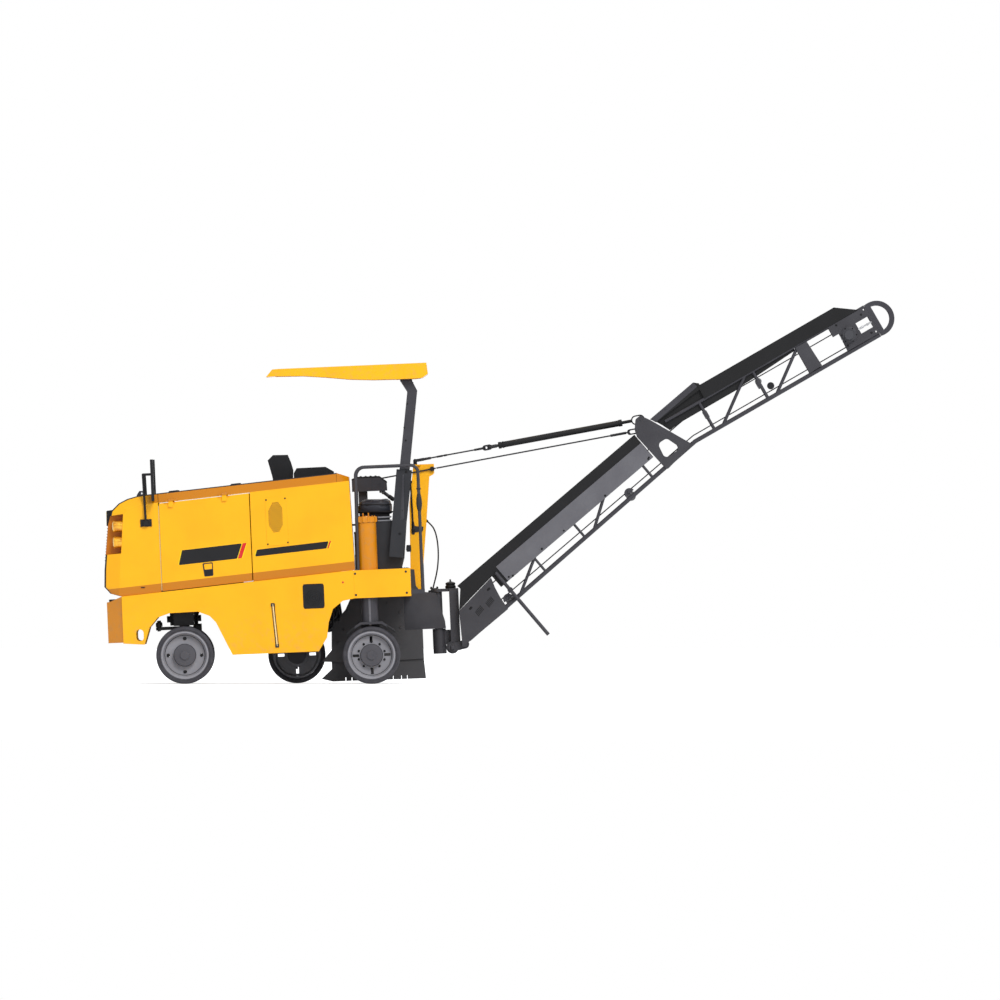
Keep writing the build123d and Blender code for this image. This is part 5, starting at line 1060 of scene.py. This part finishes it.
for side_name, side in SIDES:
    louvres = Shape()
    for z in (1556, 1588):
        blade = [(479, z), (487, z + 3), (487, z + 12), (479, z + 15)]
        louvres.loops([[(x, side * y, height) for y, height in blade] for x in (948, 1072)])
    louvres.done("seat_box_louvres_" + side_name, "machine", "louvre_grey", 0.8)
    outer = side * 572
    foot = [(x, outer - side * 1, z) for x, z in RIB_FOOT]
    crest = [(819 + (x - 826) * 0.3, outer + side * 11, z - (z - 1770) * 0.1) for x, z in RIB_FOOT]
    rib = Shape().loops([foot, crest])
    rib.done("socket_rib_" + side_name, "machine", "dark_grey_coat", 2)
    bolts = Shape().bolts(SOCKET_BOLTS, outer, side, 9, 8)
    for x, z in ((752, 2300), (724, 2640), (760, 2420)):
        bolts.turned((x + 30, side * 560, z), (0, side, 0), [(0, 9), (2, 9), (4, 6)], 16)
    bolts.done("post_bolts_" + side_name, "machine", "deep_black_coat", 0.5)
    sleeves = Shape()
    rail = side * 615
    sleeves.turned((681, rail, 1838), (0, 0, 1), [(0, 17), (4, 22), (14, 22), (18, 17)], 24)
    sleeves.turned((681, rail, 1640), (0, 0, 1), SLEEVE_LONG, 24)
    sleeves.done("handrail_sleeves_" + side_name, "machine", "console_grey", 0.6)
mat = Shape().block(806, 1290, -240, 440, 1112, 1116)
for k in range(MAT_RIBS):
    x = 822 + k * 21
    mat.plate([(x - 5, 1116), (x - 2, 1119), (x + 2, 1119), (x + 5, 1116)], -230, 430)
mat.done("deck_mat", "machine", "tread_rubber", 0)
strut = Shape()
strut.turned((1290, 562, 1112), (0, 0, 1), [(0, 12), (10, 12), (12, 9), (118, 9), (120, 12)], 20)
strut.turned((1290, 562, 1232), (0, 0, 1), [(0, 7), (12, 11), (24, 7), (214, 7), (226, 11), (238, 7)], 20)
strut.turned((1276, 552, 1535), (1, 0, 0), [(0, 9), (38, 9)], 16)
strut.done("hood_stay_strut", "machine", "deep_black_coat", 0.8)
print("deck mat ribs:", MAT_RIBS)

# %% [markdown]
# ## The seat cushion
# A cushion is foam in a sewn cover. It could be carved as a box with round edges, but that looks like
# soap. Real foam swells in the middle of each panel and pulls in at its corners and seams. So a crowned
# form a little smaller than the drawn block is remeshed and blown up with cloth pressure, then the
# piping is laid round it.

# %% Cushion
CUSHION_CAP = 0.010  # no point moves further than this
low_corner, high_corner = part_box("seat_cushion")
centre = (low_corner + high_corner) / 2
size = high_corner - low_corner
cushion_mesh = bmesh.new()
bmesh.ops.create_cube(cushion_mesh, size=1)
bmesh.ops.subdivide_edges(cushion_mesh, edges=cushion_mesh.edges, cuts=15, use_grid_fill=True)
for vert in cushion_mesh.verts:
    x, y, z = vert.co * 2
    round_off = 1 - 0.10 * (x * x * y * y) - 0.05 * z * z * (x * x + y * y) * 0.5
    crown = (1 - 0.75 * x**4) * (1 - 0.75 * y**4)
    rear_roll = 0.30 * max(0.0, -x - 0.35) / 0.65
    top = 0.44 + 0.38 * crown + rear_roll * (1 - 0.5 * y**4)
    height = (top if z > 0 else -0.92) * abs(z)
    plan = 0.47 * round_off
    vert.co = centre + Vector((x * plan * size.x, y * plan * size.y, height * 0.5 * size.z))
cushion_data = bpy.data.meshes.new("seat_cushion_pad")
cushion_mesh.to_mesh(cushion_data)
cushion_mesh.free()
cushion = bpy.data.objects.new("seat_cushion_pad", cushion_data)
bpy.context.scene.collection.objects.link(cushion)
bpy.context.view_layer.objects.active = cushion
cushion.select_set(True)


def swell(piece):
    """Blows the pad up like foam in its cover, and keeps every point within the cap of where it was."""
    remesh = piece.modifiers.new("even_grid", "REMESH")
    remesh.mode = "VOXEL"
    remesh.voxel_size = 0.006
    bpy.ops.object.modifier_apply(modifier=remesh.name)
    start = [vert.co.copy() for vert in piece.data.vertices]
    pinned = piece.vertex_groups.new(name="pan")
    floor_z = low_corner.z + size.z * 0.12
    pinned.add([v.index for v in piece.data.vertices if v.co.z < floor_z], 1.0, "REPLACE")
    cloth = piece.modifiers.new("cover", "CLOTH")
    cloth.settings.use_pressure = True
    cloth.settings.uniform_pressure_force = 4
    cloth.settings.effector_weights.gravity = 0
    cloth.settings.vertex_group_mass = "pan"
    scene = bpy.context.scene
    for step in range(1, 21):
        scene.frame_set(step)
    settled = piece.evaluated_get(bpy.context.evaluated_depsgraph_get()).to_mesh()
    moved = [vert.co.copy() for vert in settled.vertices]
    piece.modifiers.remove(cloth)
    for vert, before, after in zip(piece.data.vertices, start, moved):
        shift = after - before
        vert.co = before + shift * min(1.0, CUSHION_CAP / max(shift.length, 1e-6))
    scene.frame_set(1)


swell(cushion)
for vert in cushion.data.vertices:
    vert.co.x = min(max(vert.co.x, low_corner.x - 0.006), high_corner.x + 0.006)
    vert.co.z = min(max(vert.co.z, low_corner.z + 0.001), high_corner.z + 0.004)
for face in cushion.data.polygons:
    face.use_smooth = True
smooth = cushion.modifiers.new("smooth", "SUBSURF")
smooth.levels = smooth.render_levels = 1
cushion.data.materials.append(FINISHES["seat_cover"])
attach(cushion, "machine")
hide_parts("seat_cushion")


PIPING_POINTS = 72
PIPING_RADIUS = 0.0038
UP = Vector((0, 0, 1))
PAN_STEPS = [(0.02, -0.004), (0.004, 0.008), (0.0, 0.020), (0.008, 0.022)]  # how far in, how high


def edge_line(height, reach):
    """Points round the cushion at a height, at its widest line."""
    made = []
    for i in range(PIPING_POINTS):
        t = 2 * pi * i / PIPING_POINTS
        out = Vector((cos(t), sin(t)))
        k = (abs(out.x) ** 6 + abs(out.y) ** 6) ** (-1 / 6)
        x, y = out.x * k * size.x * reach, out.y * k * size.y * reach
        made.append(Vector((centre.x + x, centre.y + y, height)))
    return made


line = edge_line(low_corner.z + size.z * 0.62, 0.462)
rings = []
for i, point in enumerate(line):
    along = (line[(i + 1) % PIPING_POINTS] - line[i - 1]).normalized()
    rings.append(circle(point, along.cross(UP), UP, PIPING_RADIUS, BAR_SIDES))
piping = Shape().closed(rings)
piping.done("seat_piping", "machine", "moulded_black", 0, in_metres=True)
rings = []
for inwards, height in PAN_STEPS:
    x0, x1 = low_corner.x + inwards, high_corner.x - inwards
    y0, y1 = low_corner.y + inwards, high_corner.y - inwards
    z = low_corner.z + height
    rings.append([(x0, y0, z), (x1, y0, z), (x1, y1, z), (x0, y1, z)])
Shape().loops(rings).done("seat_pan", "machine", "moulded_black", 4, in_metres=True)
print("cushion points:", len(cushion.data.vertices))

# %% [markdown]
# ## Mast, housing and slew joint
# On the mast's left face is a thin black strut in a bracket, and a ring lug for tying the safety
# rope. The housing has bolt heads, the slew bracket carries a pipe block, and the yoke is
# closed by a grease cap with a stud. The cap rides on the yoke, because the yoke turns with the belt.

# %% Mast and slew
HOUSING_BOLTS = [(1500, 640), (1440, 560), (1500, 440), (905, 700), (905, 560)]
HOUSING_BOLTS += [(1390, 740), (1250, 790), (1020, 790)]
OIL_PIPES = [
    ([(1560, 120, 838), (1500, 150, 836), (1462, 180, 800), (1452, 200, 720), (1470, 210, 660)], 11),
    ([(1600, 60, 834), (1520, 100, 830), (1490, 140, 770), (1500, 160, 690), (1560, 170, 640)], 11),
    ([(1640, 240, 840), (1560, 240, 800), (1520, 230, 740), (1530, 230, 600), (1575, 230, 560)], 9),
]
PIPE_UNIONS = [points[0] for points, radius in OIL_PIPES] + [points[-1] for points, radius in OIL_PIPES]
CAP_BODY = [(0, 46), (8, 50), (22, 50), (30, 42), (34, 42), (40, 46), (52, 46)]
CAP_NOSE = [(60, 30), (66, 12), (66, 8), (84, 8), (86, 5)]
YOKE_CAP = CAP_BODY + CAP_NOSE
PIN_END = [(0, 24), (3, 24), (5, 20), (12, 20), (14, 14)]
strut = Shape()
strut.tube([(756, -283, 1905), (748, -283, 1470)], 8)
strut.turned((757, -296, 1912), (0, 1, 0), [(0, 17), (22, 17), (24, 12)], 20)
strut.turned((748, -296, 1465), (0, 1, 0), [(0, 19), (24, 19), (26, 13)], 20)
strut.done("mast_strut", "machine", "deep_black_coat", 0.6)
clamp = [(762, 1423), (762, 1537), (738, 1537), (734, 1500)]
clamp += [(652, 1490), (660, 1448), (734, 1440), (738, 1423)]
bracket = Shape().plate(rounded(clamp, 6), -296, -288)
bracket.done("mast_bracket", "machine", "console_grey", 1.5)
lug = Shape().plate(rounded([(776, 1262), (818, 1262), (824, 1284), (818, 1326), (776, 1326)], 8), -296, -286)
lug.turned((799, -287, 1296), (0, 1, 0), [(0, 17), (3, 17), (4, 15)], 24)
lug.ring((799, -283, 1296), (0, 1, 0), 15, 4)
lug.done("mast_ring_lug", "machine", "console_grey", 1)
saddle = [(526, 876), (634, 876), (634, 892), (600, 900), (596, 914), (556, 914), (552, 900), (526, 892)]
block = Shape().plate(rounded(saddle, 5), -300, -228)
for x in (548, 604):
    block.turned((x, -262, 906), (0, 0, 1), [(0, 12), (14, 12), (14, 8), (22, 8)], 6)
block.done("pipe_block", "machine", "moulded_black", 1.5)
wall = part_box("drum_housing")[1].y * 1000
housing = Shape().bolts(HOUSING_BOLTS, wall, 1, 10, 8)
housing.done("housing_bolts", "machine", "housing_coat", 0.8)
pipes = Shape()
for points, radius in OIL_PIPES:
    pipes.tube(points, radius)
for x, y, z in PIPE_UNIONS:
    pipes.turned((x, y, z), (0, 0, 1), [(-14, 17), (14, 17)], 6)
pipes.block(1440, 1660, 50, 260, 838, 850)
pipes.done("oil_pipes", "machine", "hose_rubber", 0.6)
cap = Shape().turned((424, BELT_Y, 904), (0, 0, 1), YOKE_CAP, 32)
cap.done("yoke_cap", "yoke", "deep_black_coat", 1)
ends = Shape()
for side in (-1, 1):
    ends.turned((LUFF[0], BELT_Y + side * 155, LUFF[1]), (0, side, 0), PIN_END, 6)
ends.turned((432, BELT_Y + 119, 700), (0, 1, 0), [(0, 9), (3, 9)], 16)
ends.done("luff_pin_nuts", "yoke", "bracket_grey_coat", 0.8)
print("yoke and mast dressed")

# %% [markdown]
# ## Conveyor fittings
# The conveyor's frame is bolted from tubes and folded plates. Its fittings are bolt pairs, idler
# brackets, turnbuckles on the posts and the belt's take-up screw. They could be placed one by one, but
# all of them repeat on both side faces, so each is a line in a table of stations along the frame, and
# one loop puts it on the left and the right face.

# %% Conveyor
# how far out from the belt's middle line the sheets' faces are
PLATE_OUT = 220.5
COVER_OUT = 226.5
HEAD_OUT = 222.5
POST_OUT = 194.7
SCREW_OUT = 219
# the trough's side from the fold up to the conveyor's head, and the pale strip along its upper edge
TROUGH_UNDER = [(-188, 283), (-150, 207), (-23, 226), (191, 227), (521, 228), (748, 236), (1230, 268)]
TROUGH_OVER = [(1230, 296), (1290, 300), (305, 300), (305, 374), (254, 435), (-224, 342)]
FOLD_STRIP = [(-259, 389), (260, 486), (269, 432), (-226, 339)]
TAIL_SHEET = [(352, 694), (329, 950), (239, 807)]
DRIVE_BOLTS = 6


def face_y(side, out):
    return BELT_Y + side * out


def on_face(spot, side, out):
    """A point of low or high on a side face of the conveyor."""
    return Vector((spot[0], face_y(side, out), spot[1]))


# how far out the sheet's face is, where its bolts are
BOLT_STATIONS = [
    (PLATE_OUT, [low(u, v) for u, v in ((359, 169), (375, 169), (601, 195), (617, 195))]),
    (COVER_OUT, [low(u, v) for u, v in ((863, 143), (1231, 158), (2002, 152), (2531, 152))]),
    (HEAD_OUT, [high(p, q) for p, q in ((1680, 60), (1680, 280), (1930, 250), (1930, 56))]),
]
for side_name, side in SIDES:
    outwards = (0, side, 0)
    bolts, brackets, turnbuckles = Shape(), Shape(), Shape()
    for out, stations in BOLT_STATIONS:
        bolts.bolts(stations, face_y(side, out), side, 8, 7)
    bolts.done("conveyor_bolts_" + side_name, "conveyor", "deep_black_coat", 0.5)
    for u, v in ((690, 5), (2190, 20)):
        arc = [low(u + 50 * cos(t), v + 50 * sin(t)) for t in [pi * k / 12 for k in range(13)]]
        brackets.plate(arc, face_y(side, 196), face_y(side, 204))
        brackets.turned(on_face(low(u, v + 16), side, 200), outwards, [(0, 14), (12, 14), (14, 11)], 6)
    brackets.done("idler_brackets_" + side_name, "conveyor", "dark_grey_coat", 1)
    up = Vector((sin(HIGH_SLOPE), 0, cos(HIGH_SLOPE)))
    for p, q in ((213, 165), (781, 160)):
        foot = on_face(high(p, q), side, POST_OUT) - up * 37
        turnbuckles.turned(foot, up, [(0, 19), (8, 22), (67, 22), (75, 19)], 6)
    turnbuckles.done("post_turnbuckles_" + side_name, "conveyor", "bracket_grey_coat", 1)
    start, end = on_face(high(1838, 145), side, SCREW_OUT), on_face(high(1982, 143), side, SCREW_OUT)
    screw = Shape().tube([start, end], 7)
    along = (end - start).normalized()
    for off in (26, 44, 96):
        screw.turned(start + along * off, along, [(0, 13), (11, 13)], 6)
    screw.done("take_up_screw_" + side_name, "conveyor", "bright_steel", 0.5)
for side_name, side in SIDES:
    x, z = high(1739, 142)
    flange = Shape().turned((x, face_y(side, HEAD_OUT), z), (0, side, 0), [(0, 78), (8, 78), (10, 74)], 40)
    flange.done("drive_flange_" + side_name, "conveyor", "dark_grey_coat", 0.8)
    turns = [2 * pi * k / DRIVE_BOLTS for k in range(DRIVE_BOLTS)]
    heads = [(x + 68 * cos(t), z + 68 * sin(t)) for t in turns]
    rim_bolts = Shape().bolts(heads, face_y(side, HEAD_OUT + 9), side, 5, 6)
    rim_bolts.done("drive_bolts_" + side_name, "conveyor", "deep_black_coat", 0.3)
for side_name, side in SIDES:
    trough = [high(p, q) for p, q in TROUGH_UNDER + TROUGH_OVER]
    sheet = Shape().plate(trough, face_y(side, 177), face_y(side, 181))
    sheet.done("belt_trough_" + side_name, "conveyor", "deep_black_coat", 0)
    strip = [high(p, q) for p, q in FOLD_STRIP]
    sheet = Shape().plate(strip, face_y(side, 214.6), face_y(side, 217))
    sheet.bolts([high(226, 458), high(-90, 397)], face_y(side, 217), side, 6, 5)
    sheet.done("fold_strip_" + side_name, "conveyor", "dark_grey_coat", 0.5)
# Painted shade: each vent opening is a black plate where the opening would show dark.
vents = Shape()
for start in (374, 502):
    for k in range(6):
        u, v = start + k * 14, k * 3
        opening = [low(u, v + 60), low(u + 8, v + 62), low(u + 8, v + 118), low(u, v + 116)]
        vents.plate(opening, face_y(1, PLATE_OUT - 1), face_y(1, PLATE_OUT + 1.2))
vents.done("tail_vents", "conveyor", "deep_black_coat", 0.3)
for side_name, side in SIDES:
    sheet = Shape().plate(TAIL_SHEET, face_y(side, 215.4), face_y(side, 220.6))
    sheet.done("tail_sheet_" + side_name, "conveyor", "deep_black_coat", 0.5)
reel = [(0, 34), (5, 34), (6, 22), (22, 22), (23, 34), (28, 34)]
spool = Shape().turned(on_face(high(869, 97), 1, 180), (0, 1, 0), reel, 28)
spool.done("cable_spool", "conveyor", "moulded_black", 0.8)
print("conveyor bolts:", sum(len(stations) for out, stations in BOLT_STATIONS))

# %% [markdown]
# ## Stay fittings
# The stay is a wire with swaged ends, thimbles and screw shackles, then the cylinder's rod. A swage is
# a turned sleeve, and a thimble is a ring. They ride on the stay and turn with it when the belt slews.

# %% Stays
STAY_LOW = Vector((705, 0, 2108))
STAY_TOP = low(2718, 478)
STAY_HIGH = Vector((STAY_TOP[0], 0, STAY_TOP[1]))
SWAGES = [(204, 60, 10), (270, 34, 9.5), (560, 60, 11), (640, 30, 14)]  # how far up the stay, length, radius
HEX_LENGTH = 60  # swages of this length are pressed to six sides
pull = (STAY_HIGH - STAY_LOW).normalized()


def on_stay(distance):
    """A point that far up the stay, over the belt's middle line."""
    spot = STAY_LOW + pull * distance
    return Vector((spot.x, BELT_Y, spot.z))


swages = Shape()
for d, long, radius in SWAGES:
    profile = [(0, radius * 0.7), (4, radius), (long - 4, radius), (long, radius * 0.7)]
    swages.turned(on_stay(d), pull, profile, 6 if long == HEX_LENGTH else 24)
swages.ring(on_stay(675), (0, 1, 0), 20, 4)
swages.turned(on_stay(690), pull, [(0, 15), (6, 19), (26, 19), (32, 14)], 6)
swages.done("stay_swages", "stay", "black_coat", 0.6)
shackle = Shape()
for side in (-1, 1):
    shackle.bolt(tuple(on_stay(0) + Vector((0, side * 20, 0))), (0, side, 0), 10, 9)
shackle.done("stay_shackle_nuts", "stay", "black_coat", 0.5)
glands = Shape()
for d, long in ((792, 26), (830, 14), (1930, 34)):
    glands.turned(on_stay(d), pull, [(0, 29), (2, 32), (long - 2, 32), (long, 29)], 32)
glands.done("cylinder_glands", "luff_cylinder", "deep_black_coat", 0.6)
print("stay length:", round((STAY_HIGH - STAY_LOW).length), "mm")

# %% [markdown]
# ## Drum tools
# Each block on the drum holds a pick: a conical steel body with a carbide tip. A cone with three steps
# gives it. The picks point along the drum's turning, so they lean forward from the radius.

# %% Picks
PICK = [(0, 10), (4, 15), (8, 15), (12, 10), (26, 7), (33, 2.5)]  # along, radius
ROWS, TURNS = 10, 4
FIRST_ROW, ROW_STEP = -559 + 25, 50
BLOCK_RADIUS, BLOCK_LEAD = 214, 19
picks = Shape()
drum_low, drum_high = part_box("cutter_drum")
drum_middle = (drum_low + drum_high) / 2
for row in range(ROWS):
    y = FIRST_ROW + row * ROW_STEP
    for turn in range(TURNS):
        t = radians(90 * turn + 27 * min(row, ROWS - 1 - row) + 2.4)
        out = Vector((cos(t), 0, -sin(t)))
        lead = Vector((-out.z, 0, out.x))
        on_axis = Vector((drum_middle.x * 1000, y, drum_middle.z * 1000))
        base = on_axis + out * BLOCK_RADIUS + lead * BLOCK_LEAD
        aim = (out * 0.62 + lead * 0.78).normalized()
        picks.turned(base / 1000, aim, [(along / 1000, radius / 1000) for along, radius in PICK], 12)
picks.done("drum_picks", "drum", "tool_tip", 0, in_metres=True)
print("picks:", ROWS * TURNS)

# %% [markdown]
# ## Floor, backdrop and light
# The machine stands on a plain white floor in a soft studio. The lamps are kept at a level at which
# a paint shows in the colour that is on its card, and the white of the surroundings comes from what
# the camera sees of floor and world, not from more light.

# %% Studio
FLOOR_HALF = 60.0
floor_mesh = bmesh.new()
bmesh.ops.create_grid(floor_mesh, x_segments=8, y_segments=8, size=FLOOR_HALF)
floor_data = bpy.data.meshes.new("studio_floor")
floor_mesh.to_mesh(floor_data)
floor = bpy.data.objects.new("studio_floor", floor_data)
bpy.context.scene.collection.objects.link(floor)
floor_look = bpy.data.materials.new("studio_floor")
floor_net = Net(floor_look)
matt = floor_net.add("ShaderNodeBsdfDiffuse", {}, {"Color": (0.82, 0.82, 0.82, 1)})
shade = floor_net.add("ShaderNodeEmission", {}, {"Color": (1, 1, 1, 1), "Strength": 0.55})
both = floor_net.add("ShaderNodeAddShader", {}, {0: matt, 1: shade})
lit = floor_net.add("ShaderNodeMixShader", {}, {0: floor_net.seen_straight(), 1: matt, 2: both})
floor_net.add("ShaderNodeOutputMaterial", {}, {"Surface": lit}, None)
floor_data.materials.append(floor_look)

world = bpy.data.worlds.new("studio")
bpy.context.scene.world = world
sky = Net(world)
soft = sky.add("ShaderNodeBackground", {}, {"Color": (0.92, 0.95, 1.0, 1), "Strength": 0.62})
white = sky.add("ShaderNodeBackground", {}, {"Color": (1, 1, 1, 1)})
either = sky.add("ShaderNodeMixShader", {}, {0: sky.seen_straight(), 1: soft, 2: white})
sky.add("ShaderNodeOutputWorld", {}, {"Surface": either}, None)

LAMPS = [
    # name, strength, then in degrees: softness, how high it stands, how far round from the left to the front
    ("key", 1.6, 22, 40, -20),
    ("fill", 0.5, 50, 28, -35),
    ("far_side", 0.7, 40, 38, 180),
]
for name, strength, softness, up, round_to in LAMPS:
    lamp_data = bpy.data.lights.new(name, "SUN")
    lamp_data.energy = strength
    lamp_data.angle = radians(softness)
    sun = bpy.data.objects.new(name, lamp_data)
    bpy.context.scene.collection.objects.link(sun)
    up, round_to = radians(up), radians(round_to)
    towards = Vector((sin(round_to) * cos(up), cos(round_to) * cos(up), sin(up)))
    sun.rotation_euler = towards.to_track_quat("Z", "Y").to_euler()
bpy.context.scene.view_settings.view_transform = "Standard"
print("lamps:", [lamp[0] for lamp in LAMPS])
